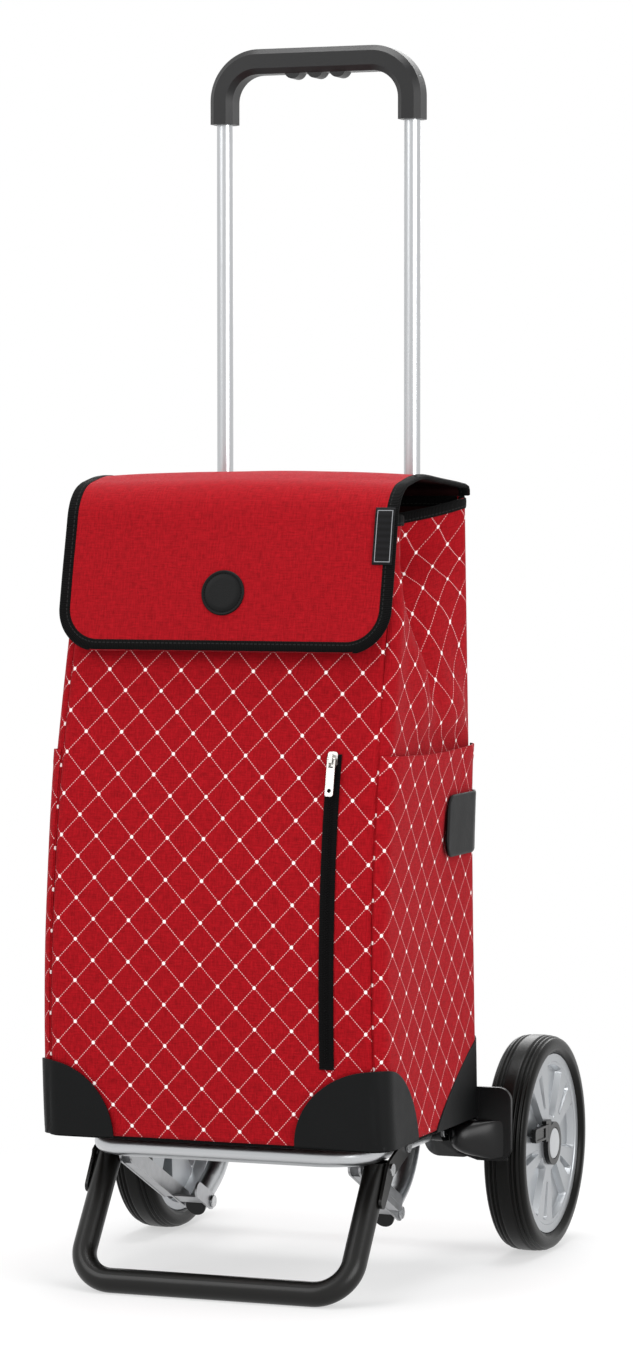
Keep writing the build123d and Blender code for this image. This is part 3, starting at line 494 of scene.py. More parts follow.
# Small blocks with a narrower top, for teeth and stitches.
def boxesPiece(name, boxes):
    points = []
    faces = []
    flats = []
    for centre, right, up, out, size in boxes:
        first = len(points)
        for k in (-1, 1):
            narrow = 0.7 if k > 0 else 1.0
            for j, i in ((-1, -1), (-1, 1), (1, 1), (1, -1)):
                spot = centre + right * i * size[0] * narrow + up * j * size[1] * narrow + out * k * size[2]
                points.append(place(*spot))
                flats.append((spot.x / 1000, spot.z / 1000))
        faces.append((first, first + 3, first + 2, first + 1))
        faces.append((first + 4, first + 5, first + 6, first + 7))
        for a in range(4):
            b = (a + 1) % 4
            faces.append((first + a, first + b, first + b + 4, first + a + 4))
    piece = meshPiece(name, points, faces, flats)
    piece.data.polygons.foreach_set("use_smooth", [False] * len(piece.data.polygons))
    return piece


# Gives a piece its materials, cloth thickness, body and replaced nodes, and with folds its own copy of its
# mesh.
def dress(piece, materials, body, nodes=(), thick=0.0, folds=True):
    for material in materials:
        piece.data.materials.append(material)
    if thick:
        skin = piece.modifiers.new("cloth", "SOLIDIFY")
        skin.thickness = thick / 1000
        skin.offset = -1.0
        if len(materials) > 1:
            skin.material_offset = 1
    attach(piece, body)
    if nodes:
        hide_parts(*nodes)
    if folds:
        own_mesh(piece)
    return piece


# Tyres: turned about the axle, with rounded ribs beside each edge of the tread.
tyre = {
    "x": 185.0, "y": 83.0, "z": 100.0, "radius": 100.0, "seat": 83.3, "half": 19.5, "bead": 14.6,
    "wide": 88.5, "grooves": ((7.3, 1.8), (11.2, 1.8), (15.0, 1.1)), "grooveWidth": 1.0, "square": 3.4,
    "wall": 9, "across": 150, "around": 128,
}


def tyreProfile():
    profile = []
    for k in range(tyre["wall"]):
        up = k / (tyre["wall"] - 1)
        swell = (tyre["half"] - tyre["bead"]) * math.sin(up * math.pi / 2) ** 0.8
        profile.append((-tyre["bead"] - swell, tyre["seat"] + (tyre["wide"] - tyre["seat"]) * up))
    for k in range(1, tyre["across"]):
        a = math.pi * k / tyre["across"]
        x = -tyre["half"] * math.copysign(abs(math.cos(a)) ** (2 / tyre["square"]), math.cos(a))
        high = tyre["wide"] + (tyre["radius"] - tyre["wide"]) * math.sin(a) ** (2 / tyre["square"])
        for middle, deep in tyre["grooves"]:
            high -= deep * hill(abs(x), middle, tyre["grooveWidth"])
        profile.append((x, high))
    profile += [(-x, high) for x, high in reversed(profile[:tyre["wall"]])]
    return profile


def tyrePiece(name, hand):
    profile = tyreProfile()
    count = len(profile)
    points = []
    flats = []
    faces = []
    for k in range(tyre["around"]):
        a = 2 * math.pi * k / tyre["around"]
        n = (k + 1) % tyre["around"]
        for i, (x, high) in enumerate(profile):
            y = tyre["y"] + high * math.cos(a)
            z = tyre["z"] + high * math.sin(a)
            points.append(place(hand * tyre["x"] + x, y, z))
            flats.append((a * tyre["radius"] / 1000, x / 1000))
            m = (i + 1) % count
            faces.append((k * count + i, n * count + i, n * count + m, k * count + m))
    return meshPiece(name, points, faces, flats)


# Rims: five moulded windows with a slot between each pair of spokes, and hollow behind the spokes.
# Turns are in degrees from the middle of a window, runs in mm from the axle.
rim = {
    "bore": 9.2, "hub": 20.0, "hubBack": -17.0, "face": 14.0, "back": -3.0, "well": 75.0, "radius": 83.0,
    "lip": 15.0, "lipStep": 0.8, "windows": 5, "turn": 12.0,
    "windowDeep": 6.0, "slotDeep": 5.0, "hollowDeep": 10.5,
    "windowHalf": 18.0, "windowRuns": (25.0, 73.0), "slotFrom": 32.0, "slotRuns": (36.0, 71.0),
    "hollowFrom": 21.0, "hollowRuns": (24.0, 74.0), "edge": 0.6, "crease": 24.0,
    "turns": (
        -18.0, -15.6, -8.0, 0.0, 8.0, 15.6, 18.0, 21.0, 23.0, 27.5,
        32.0, 33.6, 36.0, 38.4, 40.0, 44.5, 49.0, 51.0,
    ),
    "frontRuns": (25.0, 27.5, 36.0, 39.0, 50.0, 60.0, 68.0, 70.5, 71.0, 73.0),
    "backRuns": (74.0, 72.0, 60.0, 48.0, 36.0, 26.0, 24.0),
}
halfTurn = 180 / rim["windows"]


def within(x, low, high, ramp):
    return clamped(min(x - low, high - x) / ramp)


def rimFace(r, off):
    window = within(off, -rim["windowHalf"], rim["windowHalf"], 2.4) * within(r, *rim["windowRuns"], 2.5)
    slot = within(abs(off), rim["slotFrom"], 90.0, 1.6) * within(r, *rim["slotRuns"], 3.0)
    return rim["face"] - rim["windowDeep"] * window - rim["slotDeep"] * slot


def rimBack(r, off):
    hollow = within(abs(off), rim["hollowFrom"], 90.0, 2.0) * within(r, *rim["hollowRuns"], 2.0)
    return rim["back"] + rim["hollowDeep"] * hollow


def rimProfile(off):
    lip = rim["well"] + rim["lipStep"]
    profile = [(rim["bore"], rim["face"]), (rim["hub"], rim["face"])]
    profile += [(r, rimFace(r, off)) for r in rim["frontRuns"]]
    profile += [(rim["well"], rim["face"]), (lip, rim["lip"]), (rim["radius"], rim["lip"])]
    profile += [(rim["radius"], -rim["lip"]), (lip, -rim["lip"]), (rim["well"], rim["back"])]
    profile += [(r, rimBack(r, off)) for r in rim["backRuns"]]
    profile += [(rim["hub"], rim["back"]), (rim["hub"], rim["hubBack"]), (rim["bore"], rim["hubBack"])]
    return profile


def rimPiece(name, hand):
    points = []
    turns = [pair * 2 * halfTurn + off for pair in range(rim["windows"]) for off in rim["turns"]]
    for turn in turns:
        profile = rimProfile((turn + halfTurn) % (2 * halfTurn) - halfTurn)
        a = math.radians(rim["turn"] + turn)
        for r, x in profile:
            y = tyre["y"] + r * math.sin(a)
            z = tyre["z"] + r * math.cos(a)
            points.append(place(hand * (tyre["x"] + x), y, z))
    count = len(profile)
    faces = []
    for k in range(len(turns)):
        n = (k + 1) % len(turns)
        for i in range(count):
            m = (i + 1) % count
            face = (k * count + i, k * count + m, n * count + m, n * count + i)
            faces.append(face if hand < 0 else face[::-1])
    piece = meshPiece(name, points, faces, [(0.0, 0.0)] * len(points))
    piece.data.set_sharp_from_angle(angle=math.radians(rim["crease"]))
    edges = piece.modifiers.new("edges", "BEVEL")
    edges.width = rim["edge"] / 1000
    edges.segments = 2
    edges.angle_limit = math.radians(rim["crease"])
    return piece


for hand, side in ((1, "right"), (-1, "left")):
    wheel = side + "_wheel"
    rimOf = rimPiece(side + "Rim", hand)
    dress(rimOf, [rimPlastic], wheel, [side + "_wheel_rim"], folds=False)
    tyreOf = tyrePiece(side + "Tyre", hand)
    dress(tyreOf, [tyreSkin], wheel, [side + "_tyre"], folds=False)
print("wheels made")

# Moulded cheek of each axle carrier: a swelling that runs from the fork's nose into the mudguard.
cheek = {
    "first": 141.0, "last": 194.0, "y": -26.5, "nose": 33.0, "top": 134.6, "low": 110.0, "plateLow": 98.6,
    "round": 0.42, "endShare": 0.7, "full": 0.6, "thick": 1.5,
}


def cheekWhere(hand):
    def where(u, v):
        e = u if hand > 0 else 1 - u
        a = math.pi * v
        low = cheek["low"] + (cheek["plateLow"] - cheek["low"]) * (1 - (1 - e) ** 2)
        middle = (cheek["top"] + low) / 2
        end = math.sqrt(1 - (1 - min(1.0, e / cheek["round"])) ** 2)
        half = (cheek["top"] - low) / 2 * (cheek["endShare"] + (1 - cheek["endShare"]) * end)
        out = cheek["nose"] * (1 - eased(e)) * end
        x = cheek["first"] + e * (cheek["last"] - cheek["first"])
        z = middle - half * math.cos(a)
        return (hand * x, cheek["y"] - out * math.sin(a) ** cheek["full"], z), (x, z)
    return where


for hand, side in ((1, "right"), (-1, "left")):
    piece = gridPiece(side + "CarrierCheek", 48, 28, cheekWhere(hand))
    dress(piece, [carrierPlastic], "frame", thick=cheek["thick"], folds=False)
print("carrier cheeks made")

# The bag's outer form: a lofted shell, bowed in front, narrowing to the mouth.
bag = {
    "low": 138.4, "frontTop": 682.0, "backTop": 700.0, "halfLow": 162.0, "halfHigh": 156.0, "corner": 18.0,
    "bowY": 712.14, "bowZ": 268.96, "bowRadius": 982.08, "shoulder": 480.0, "shoulderY": -247.0,
    "lean": 0.22, "curl": 0.000216, "backLow": -12.5, "backHigh": -23.0, "seam": 8.58,
    "mouthY": -192.0, "mouthZ": 690.0, "mouthDeep": 169.0, "cloth": 1.6,
}


def heightShare(z):
    return (z - bag["low"]) / (bag["backTop"] - bag["low"])


def bagHalf(z):
    return bag["halfLow"] + (bag["halfHigh"] - bag["halfLow"]) * heightShare(z)


def bagBack(z):
    return bag["backLow"] + (bag["backHigh"] - bag["backLow"]) * heightShare(z)


def bagFront(z):
    if z <= bag["shoulder"]:
        return bag["bowY"] - math.sqrt(bag["bowRadius"] ** 2 - (z - bag["bowZ"]) ** 2)
    up = z - bag["shoulder"]
    return bag["shoulderY"] + bag["lean"] * up + bag["curl"] * up * up


def sideRun(z):
    return bagBack(z) - bagFront(z) - 2 * bag["corner"]


# A point on the shell: t is the distance round it from the middle of the front, to the right.
def bagPoint(t, z, proud=0.0):
    hand = 1 if t >= 0 else -1
    t = abs(t)
    r = bag["corner"]
    flat = bagHalf(z) - r
    quarter = r * math.pi / 2
    side = sideRun(z)
    front = bagFront(z)
    if t <= flat:
        x, y, nx, ny = t, front, 0.0, -1.0
    elif t <= flat + quarter:
        a = (t - flat) / r
        nx, ny = math.sin(a), -math.cos(a)
        x, y = flat + r * nx, front + r + r * ny
    elif t <= flat + quarter + side:
        nx, ny = 1.0, 0.0
        x, y = flat + r, front + r + t - flat - quarter
    elif t <= flat + 2 * quarter + side:
        a = (t - flat - quarter - side) / r
        nx, ny = math.cos(a), math.sin(a)
        x, y = flat + r * nx, front + r + side + r * ny
    else:
        nx, ny = 0.0, 1.0
        x, y = flat - (t - flat - 2 * quarter - side), front + 2 * r + side
    return (hand * (x + nx * proud), y + ny * proud, z)


def shellOut(t, z):
    return (Vector(bagPoint(t, z, 1.0)) - Vector(bagPoint(t, z))).normalized()


def seamAt(z):
    return bagHalf(z) - bag["seam"]


def backSeamAt(z):
    return bagHalf(z) - 2 * bag["corner"] + bag["corner"] * math.pi + sideRun(z) + bag["seam"]


# How the cloth stands off the plain form, at distance t round it and height z.
drape = {
    "seamDepth": 1.8, "seamWidth": 2.2, "sink": 1.0, "ripple": 1.4, "rippleWide": 90.0, "rippleHigh": 160.0,
    "backRipple": 1.0, "backWide": 110.0, "backHigh": 140.0,
    "puff": 2.2, "puffWide": 100.0, "puffZ": 330.0, "puffHigh": 170.0,
}


def seamDip(t, z):
    gap = min(abs(abs(t) - seamAt(z)), abs(abs(t) - backSeamAt(z)))
    return -drape["seamDepth"] * hill(gap, 0.0, drape["seamWidth"])


def frontDrape(t, z):
    wave = drape["ripple"] * soft(t / drape["rippleWide"], z / drape["rippleHigh"], 3.1)
    puff = drape["puff"] * math.cos(t / drape["puffWide"]) * hill(z, drape["puffZ"], drape["puffHigh"])
    return seamDip(t, z) + wave + puff - drape["sink"]


# The sides fold in like a gusset near the mouth, along a crease that comes forward as it goes down.
# Each swelling below the fold has its height, then its middle and width along y, then along z.
# Under the lid the front corners of the mouth draw in, so the lid covers them.
gusset = {
    "topY": -106.0, "bendZ": 650.0, "kneeZ": 622.0, "endZ": 500.0, "deep": 48.0, "round": 0.12, "sag": 9.0,
    "swellings": (
        (11.0, -158.0, 26.0, 548.0, 44.0),
        (-6.6, -118.0, 17.0, 552.0, 44.0),
        (6.6, -70.0, 45.0, 512.0, 24.0),
        (-4.0, -100.0, 75.0, 485.0, 12.0),
    ),
    "frontEdge": 30.0, "backEdge": 22.0, "ripple": 1.0, "looseRipple": 2.2, "looseFrom": 470.0,
    "rippleDeep": 75.0, "rippleHigh": 52.0,
    "narrow": 0.075, "narrowZ": 585.0, "narrowHigh": 85.0, "narrowY": -100.0, "narrowDeep": 70.0,
    "lean": 0.27, "leanZ": 520.0, "leanHigh": 80.0,
}


def creaseAt(z):
    return gusset["topY"] - min(max(gusset["bendZ"] - z, 0.0), gusset["bendZ"] - gusset["kneeZ"])


def foldShare(y, z):
    first = bagFront(z) + bag["corner"]
    last = bagBack(z) - bag["corner"]
    crease = creaseAt(z)
    return clamped((y - first) / (crease - first) if y < crease else (last - y) / (last - crease))


def mouthAt(t):
    rise = (bag["backTop"] - bag["frontTop"]) / bag["mouthDeep"]
    z = bag["frontTop"]
    for step in range(3):
        y = bagPoint(t, z)[1]
        z = bag["frontTop"] + (y - bag["mouthY"]) * rise
    return z - gusset["sag"] * foldShare(y, z)


def sideDrape(t, z):
    y = bagPoint(abs(t), z)[1]
    first = bagFront(z) + bag["corner"]
    last = bagBack(z) - bag["corner"]
    share = foldShare(y, z)
    up = smoothed((z - gusset["endZ"]) / (gusset["bendZ"] - gusset["endZ"]))
    crease = -gusset["deep"] * up * (share - gusset["round"] * math.sin(math.pi * share))
    edge = clamped((y - first) / gusset["frontEdge"]) * clamped((last - y) / gusset["backEdge"])
    swell = 0.0
    for high, midY, wideY, midZ, wideZ in gusset["swellings"]:
        swell += high * hill(y, midY, wideY) * hill(z, midZ, wideZ)
    ripple = gusset["looseRipple"] if z > gusset["looseFrom"] else gusset["ripple"]
    ripple *= soft(y / gusset["rippleDeep"], z / gusset["rippleHigh"], 7.7)
    return seamDip(t, z) + crease + (swell + ripple) * edge


def drawnIn(spot):
    x, y, z = spot
    up = smoothed((z - gusset["narrowZ"]) / gusset["narrowHigh"])
    forward = clamped((gusset["narrowY"] - y) / gusset["narrowDeep"])
    return (x * (1 - gusset["narrow"] * up * forward), y, z)


# Where the print's crossings fall on each panel, in mm.
printShift = {"frontX": 7.0, "frontZ": -3.2, "sideX": 6.0, "sideZ": 9.0, "pocketX": -5.0, "pocketZ": 21.0}


def frontWhere(u, v):
    e = 2 * eased(u) - 1
    z = bag["low"] + v * (mouthAt(e * seamAt(bag["frontTop"])) - bag["low"])
    t = e * seamAt(z)
    return drawnIn(bagPoint(t, z, frontDrape(t, z))), (t + printShift["frontX"], z + printShift["frontZ"])


def backWhere(u, v):
    e = 2 * eased(u) - 1
    z = bag["low"] + v * (bag["backTop"] - bag["low"])
    t = -e * seamAt(z)
    r = bag["corner"]
    over = max(0.0, abs(t) - (bagHalf(z) - r))
    bend = r - r * math.cos(over / r)
    dip = drape["seamDepth"] * hill(abs(t), seamAt(z), drape["seamWidth"])
    wave = drape["backRipple"] * soft(t / drape["backWide"], z / drape["backHigh"], 9.3)
    return (bagPoint(t, z)[0], bagBack(z) - bend - dip - drape["sink"] + min(0.0, wave), z), (t, z)


def sideWhere(hand):
    def where(u, v):
        e = eased(u) if hand > 0 else 1 - eased(u)
        front = seamAt(bag["mouthZ"])
        top = mouthAt(front + e * (backSeamAt(bag["mouthZ"]) - front))
        z = bag["low"] + v * (top - bag["low"])
        t = seamAt(z) + e * (backSeamAt(z) - seamAt(z))
        spot = drawnIn(bagPoint(hand * t, z, sideDrape(t, z)))
        high = clamped((z - gusset["leanZ"]) / gusset["leanHigh"])
        pulled = high * gusset["lean"] * max(0.0, spot[1] - creaseAt(z))
        return spot, (hand * t + printShift["sideX"], z + printShift["sideZ"] - pulled)
    return where


panels = (
    ("bagFront", 72, 120, frontWhere, 0, "front_panel"),
    ("bagBack", 48, 60, backWhere, 0, "back_panel"),
    ("bagSideRight", 80, 140, sideWhere(1), 1, "right_side_panel"),
    ("bagSideLeft", 80, 140, sideWhere(-1), -1, "left_side_panel"),
)
for name, columns, rows, where, measured, node in panels:
    piece = gridPiece(name, columns, rows, where, measured)
    dress(piece, [printedCanvas, backCanvas], "frame", [node], bag["cloth"])
print("bag shell made")

# Sewn-in base: the canvas bottom, the stiff board on it, and the black piping round the edge.
base = {
    "z": 135.4, "thick": 2.4, "boardZ": 138.4, "boardThick": 3.6, "inset": 4.0,
    "pipe": 1.7, "pipeZ": 137.2, "pipeInset": 2.4, "pipeCount": 220,
}


def baseWhere(z):
    def where(u, v):
        half = bagHalf(bag["low"]) - base["inset"]
        front = bagFront(bag["low"]) + base["inset"]
        back = bagBack(bag["low"]) - base["inset"]
        r = bag["corner"] - base["inset"]
        x = (2 * eased(u) - 1) * half
        y = front + eased(v) * (back - front)
        near = min(y - front, back - y)
        if near < r:
            lost = r - math.sqrt(max(0.0, r * r - (r - near) ** 2))
            x *= (half - lost) / half
        return (x, y, z), (x, y)
    return where


def bagRound(z, count):
    r = bag["corner"]
    total = 2 * (2 * (bagHalf(z) - r) + sideRun(z) + math.pi * r)
    return [-total / 2 + total * k / count for k in range(count)]


def roundSection(radius, steps):
    turns = [2 * math.pi * i / steps for i in range(steps)]
    return [(radius * math.cos(a), radius * math.sin(a)) for a in turns]


bottom = gridPiece("bagBottom", 40, 40, baseWhere(base["z"] + base["thick"]))
dress(bottom, [printedCanvas, backCanvas], "frame", ["bottom_panel"], base["thick"])
board = gridPiece("bagBoard", 40, 40, baseWhere(base["boardZ"] + base["boardThick"]))
dress(board, [baseBoard], "frame", ["base_board"], base["boardThick"])
pipeStations = []
for t in bagRound(bag["low"], base["pipeCount"]):
    out = shellOut(t, bag["low"])
    spot = Vector(bagPoint(t, bag["low"])) - out * base["pipeInset"]
    pipeStations.append(((spot.x, spot.y, base["pipeZ"]), out, Vector((0, 0, 1))))
piping = sweptPiece("bottomPiping", pipeStations, roundSection(base["pipe"], 12), True)
dress(piping, [edgeTape], "frame", ["bottom_piping"])

# Mouth of the bag, bound with folded tape. The section is drawn down from the edge and out from the cloth.
mouth = {
    "count": 200,
    "section": (
        (9.0, 1.0), (7.4, 1.35), (3.0, 1.5), (0.4, 1.2), (-0.9, -0.6),
        (0.4, -2.6), (3.0, -2.9), (7.4, -2.8), (9.0, -2.4),
    ),
}
mouthStations = []
for t in bagRound(bag["mouthZ"], mouth["count"]):
    z = mouthAt(t)
    off = sideDrape(t, z) if seamAt(z) < abs(t) < backSeamAt(z) else -drape["sink"]
    mouthStations.append((drawnIn(bagPoint(t, z, off)), Vector((0, 0, -1)), shellOut(t, z)))
mouthTape = sweptPiece("mouthBinding", mouthStations, mouth["section"], True)
dress(mouthTape, [edgeTape], "frame")
print("base and mouth made")

# Corner patches in leatherette: quarter ellipses that wrap each lower corner, with a turned edge.
patch = {
    "wide": 80.0, "leftWide": 66.0, "deep": 73.0, "high": 70.0, "leftHigh": 67.0,
    "rearWide": 54.0, "rearDeep": 120.0, "rearHigh": 74.0, "rearCut": 1.7,
    "drop": 1.0, "proud": 1.5, "edge": 1.7, "edgeShare": 0.05, "follow": 0.5, "thick": 1.2,
}


def patchWhere(hand, rear):
    high = patch["high"] if hand > 0 else patch["leftHigh"]
    toFront = patch["wide"] if hand > 0 else patch["leftWide"]
    toBack = patch["deep"]
    cut = 1.0
    if rear:
        high = patch["rearHigh"]
        toFront = patch["rearDeep"]
        toBack = patch["rearWide"]
        cut = patch["rearCut"]

    def where(u, v):
        angle = math.pi * (u if hand > 0 else 1 - u)
        r = math.sin(v * math.pi / 2)
        z = bag["low"] - patch["drop"] + high * r * math.sin(angle) ** cut
        quarter = bag["corner"] * math.pi / 2
        middle = bagHalf(z) - bag["corner"] + quarter / 2
        if rear:
            middle += sideRun(z) + quarter
        side = math.copysign(abs(math.cos(angle)) ** cut, -math.cos(angle))
        t = middle + r * side * (toBack if side > 0 else toFront)
        rise = patch["proud"] * min(1.0, (1 - v) / patch["edgeShare"]) ** 0.5 + patch["edge"]
        under = -drape["sink"]
        if t < seamAt(z):
            under = frontDrape(t, z)
        elif t < backSeamAt(z):
            under = sideDrape(t, z)
        return bagPoint(hand * t, z, rise + patch["follow"] * under), (hand * t, z)
    return where


for hand, side in ((1, "Right"), (-1, "Left")):
    for rear, end in ((False, "Front"), (True, "Rear")):
        piece = gridPiece("cornerPatch" + end + side, 64, 24, patchWhere(hand, rear))
        dress(piece, [softLeather], "frame", ["corner_patches"], patch["thick"])
print("corner patches made")

# Side pockets: the whole lower side is a second layer of canvas, loose along its top edge.
pocket = {
    "top": 477.0, "low": 140.0, "looseFrom": 300.0, "loose": 7.0, "hem": 12.0, "hemThick": 0.5, "droop": 3.0,
    "frontGap": 1.0, "backGap": 6.0, "ripple": 0.8, "rippleCount": 3.0, "rippleHigh": 80.0, "stretch": 0.99,
    "belly": 0.8, "rear": 0.75, "rearAt": 0.86, "rearWide": 0.14, "hemShare": 0.1,
    "lay": 0.3, "cover": 1.5, "coverShare": 0.14, "seamShare": 0.4, "cloth": 1.5,
}


def pocketProud(e, z):
    lift = max(0.0, (z - pocket["looseFrom"]) / (pocket["top"] - pocket["looseFrom"]))
    belly = math.sin(math.pi * clamped(e)) ** 0.6
    rear = pocket["rear"] * lift * hill(e, pocket["rearAt"], pocket["rearWide"])
    proud = pocket["lay"] + pocket["cover"] * min(1.0, e / pocket["coverShare"])
    proud += pocket["loose"] * lift * lift * max(belly * pocket["belly"], rear)
    if z > pocket["top"] - pocket["hem"]:
        proud += pocket["hemThick"] * min(1.0, e / pocket["hemShare"])
    return proud + pocket["ripple"] * soft(e * pocket["rippleCount"], z / pocket["rippleHigh"], 5.2) * belly


def pocketWhere(hand):
    def where(u, v):
        e = eased(u) if hand > 0 else 1 - eased(u)
        z = pocket["low"] + (pocket["top"] - pocket["low"]) * v
        first = seamAt(z) + pocket["frontGap"]
        last = backSeamAt(z) - pocket["backGap"]
        t = first + e * (last - first)
        droop = pocket["droop"] * math.sin(math.pi * e) * v ** 4
        x, y, z = bagPoint(hand * t, z, pocketProud(e, z) + pocket["seamShare"] * seamDip(t, z))
        flat = (hand * t * pocket["stretch"] + printShift["pocketX"], z + printShift["pocketZ"])
        return (x, y, z - droop), flat
    return where


for hand, side in ((1, "right"), (-1, "left")):
    piece = gridPiece(side + "Pocket", 64, 90, pocketWhere(hand))
    node = side + "_side_pocket"
    dress(piece, [printedCanvas, backCanvas], "frame", [node], pocket["cloth"])
print("pockets made")

# Leather straps that tie the bag to the tubes: a rounded tongue on the side, a loop round the tube.
strap = {
    "low": 380.0, "high": 435.0, "front": -116.0, "past": 48.0, "thick": 2.2, "proud": 7.6, "lay": 1.4,
    "end": 12.0, "lower": 30.0, "edge": 0.8,
    "tubeX": 92.0, "tubeRadius": 9.6, "loopY": -14.0, "loopCount": 24,
}
strapZ = (strap["low"] + strap["high"]) / 2
strapHalf = (strap["high"] - strap["low"]) / 2


def strapWhere(hand):
    r = bag["corner"]
    start = bagHalf(strapZ) - r + r * math.pi / 2 + strap["front"] - bagFront(strapZ) - r
    stop = backSeamAt(strapZ) + strap["past"]

    def where(u, v):
        e = u if hand > 0 else 1 - u
        t = start + e * (stop - start)
        tall = strapHalf
        if t - start < strap["end"]:
            k = 1 - (t - start) / strap["end"]
            tall -= strap["end"] - strap["end"] * math.sqrt(max(0.0, 1 - k * k))
        over = max(0.0, t - (backSeamAt(strapZ) - strap["lower"])) / strap["lower"]
        proud = strap["proud"] * max(0.0, 1 - over) + strap["lay"]
        proud -= strap["edge"] * (1 - min(1.0, (1 - abs(2 * v - 1)) / 0.08))
        proud -= strap["edge"] * (1 - min(1.0, (t - start) / 2.5))
        z = strapZ + (2 * v - 1) * tall
        return bagPoint(hand * t, z, proud), (t, z)
    return where


def loopStations(hand):
    up = Vector((0, 0, 1))
    lead = Vector((1, 0, 0))
    x = hand * strap["tubeX"]
    r = strap["tubeRadius"]
    stations = [((x + r, strap["loopY"], strapZ), up, lead)]
    for k in range(strap["loopCount"] + 1):
        a = math.pi * k / strap["loopCount"]
        out = Vector((math.cos(a), math.sin(a), 0))
        stations.append(((x + r * out.x, r * out.y, strapZ), up, out))
    stations.append(((x - r, strap["loopY"], strapZ), up, -lead))
    return stations


loopSection = [(-strapHalf, 0.4), (1.0 - strapHalf, 0.1), (strapHalf - 1.0, 0.1), (strapHalf, 0.4)]
loopSection += [(strapHalf, 1.5), (strapHalf - 1.2, 1.9), (1.2 - strapHalf, 1.9), (-strapHalf, 1.5)]
for hand, side in ((1, "right"), (-1, "left")):
    tongue = gridPiece(side + "StrapTongue", 60, 24, strapWhere(hand))
    dress(tongue, [softLeather], "frame", [side + "_frame_strap"], strap["thick"])
    loop = sweptPiece(side + "StrapLoop", loopStations(hand), loopSection, False)
    dress(loop, [softLeather], "frame", folds=False)
print("straps made")

# Zip pocket in the front panel: tape, coil teeth, slider and pull.
zipper = {
    "x": 110.0, "low": 207.0, "high": 478.0, "half": 6.8, "lay": 0.7, "crown": 0.9, "groove": 0.35,
    "thick": 1.2, "tooth": 2.4, "toothEnd": 8.0, "toothLay": 1.5, "toothSize": (1.25, 0.75, 0.5),
    "apart": 0.75, "slant": 0.6, "sliderEdge": 0.5, "pullEdge": 0.25,
}


def zipWhere(u, v):
    z = zipper["low"] + v * (zipper["high"] - zipper["low"])
    across = 2 * u - 1
    t = zipper["x"] + across * zipper["half"]
    rise = zipper["lay"] + zipper["crown"] * (1.0 - 0.9 * abs(across) ** 6)
    if 0.3 < abs(across) < 0.45:
        rise -= zipper["groove"]
    return bagPoint(t, z, frontDrape(t, z) + rise), (z, t)


zipBand = gridPiece("zipTape", 22, 90, zipWhere)
dress(zipBand, [zipCloth], "frame", ["zip_tape"], zipper["thick"])
teeth = []
z = zipper["low"] + zipper["toothEnd"]
while z < zipper["high"] - zipper["toothEnd"]:
    rise = frontDrape(zipper["x"], z) + zipper["toothLay"]
    for shift in (-zipper["apart"], zipper["apart"]):
        spot = Vector(bagPoint(zipper["x"] + shift, z + zipper["slant"] * shift, rise))
        teeth.append((spot, Vector((1, 0, 0)), Vector((0, 0, 1)), Vector((0, -1, 0)), zipper["toothSize"]))
    z += zipper["tooth"]
dress(boxesPiece("zipTeeth", teeth), [zipCloth], "frame")


# The zip's metal keeps its CAD shape with softened edges, on its own copy of the mesh.
def zipMetal(name, node, body, edge):
    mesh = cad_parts[node].data.copy()
    mesh.name = name
    mesh.materials.clear()
    piece = bpy.data.objects.new(name, mesh)
    scene.collection.objects.link(piece)
    soften = piece.modifiers.new("edges", "BEVEL")
    soften.width = edge / 1000
    soften.segments = 2
    soften.limit_method = "ANGLE"
    dress(piece, [zipNickel], body, [node])


zipMetal("zipSlider", "zip_slider", "slider", zipper["sliderEdge"])
zipMetal("zipPull", "zip_pull", "puller", zipper["pullEdge"])
print("zip made")

# Lid: one crowned sheet of plain canvas from the back seam over the top and down the front, bound all round.
# Its line is drawn in y and z, and each inner point of it is rounded by the bend of the same place.
lid = {
    "line": ((-24.5, 700.3), (-24.5, 709.0), (-150.0, 718.0), (-210.0, 706.0), (-241.0, 565.0)),
    "bends": (5.0, 150.0, 38.0), "half": 155.0, "corner": 38.0, "cloth": 2.4,
    "crown": 5.0, "topShare": 0.62, "puff": 2.5, "puffAt": 0.78, "puffWide": 0.16,
    "ripple": 1.1, "rippleWide": 75.0, "rippleLong": 60.0,
}


def bentLine(points, bends, steps):
    line = [Vector(points[0])]
    for k, radius in enumerate(bends):
        p, q, r = (Vector(points[k + i]) for i in range(3))
        a = (p - q).normalized()
        b = (r - q).normalized()
        half = math.acos(max(-1.0, min(1.0, a.dot(b)))) / 2
        cut = radius / math.tan(half)
        centre = q + (a + b).normalized() * (radius / math.sin(half))
        start = q + a * cut - centre
        sweep = start.angle_signed(q + b * cut - centre)
        side = Vector((-start.y, start.x))
        for i in range(steps + 1):
            turn = -sweep * i / steps
            line.append(centre + start * math.cos(turn) + side * math.sin(turn))
    line.append(Vector(points[-1]))
    return line


lidLine = bentLine(lid["line"], lid["bends"], 10)
lidRuns = [0.0]
for before, after in zip(lidLine, lidLine[1:]):
    lidRuns.append(lidRuns[-1] + (after - before).length)
lidLength = lidRuns[-1]


def lidAlong(s):
    s = min(max(s, 0.0), lidLength)
    k = 1
    while k < len(lidRuns) - 1 and lidRuns[k] < s:
        k += 1
    gap = max(lidRuns[k] - lidRuns[k - 1], 1e-6)
    return lidLine[k - 1].lerp(lidLine[k], (s - lidRuns[k - 1]) / gap)


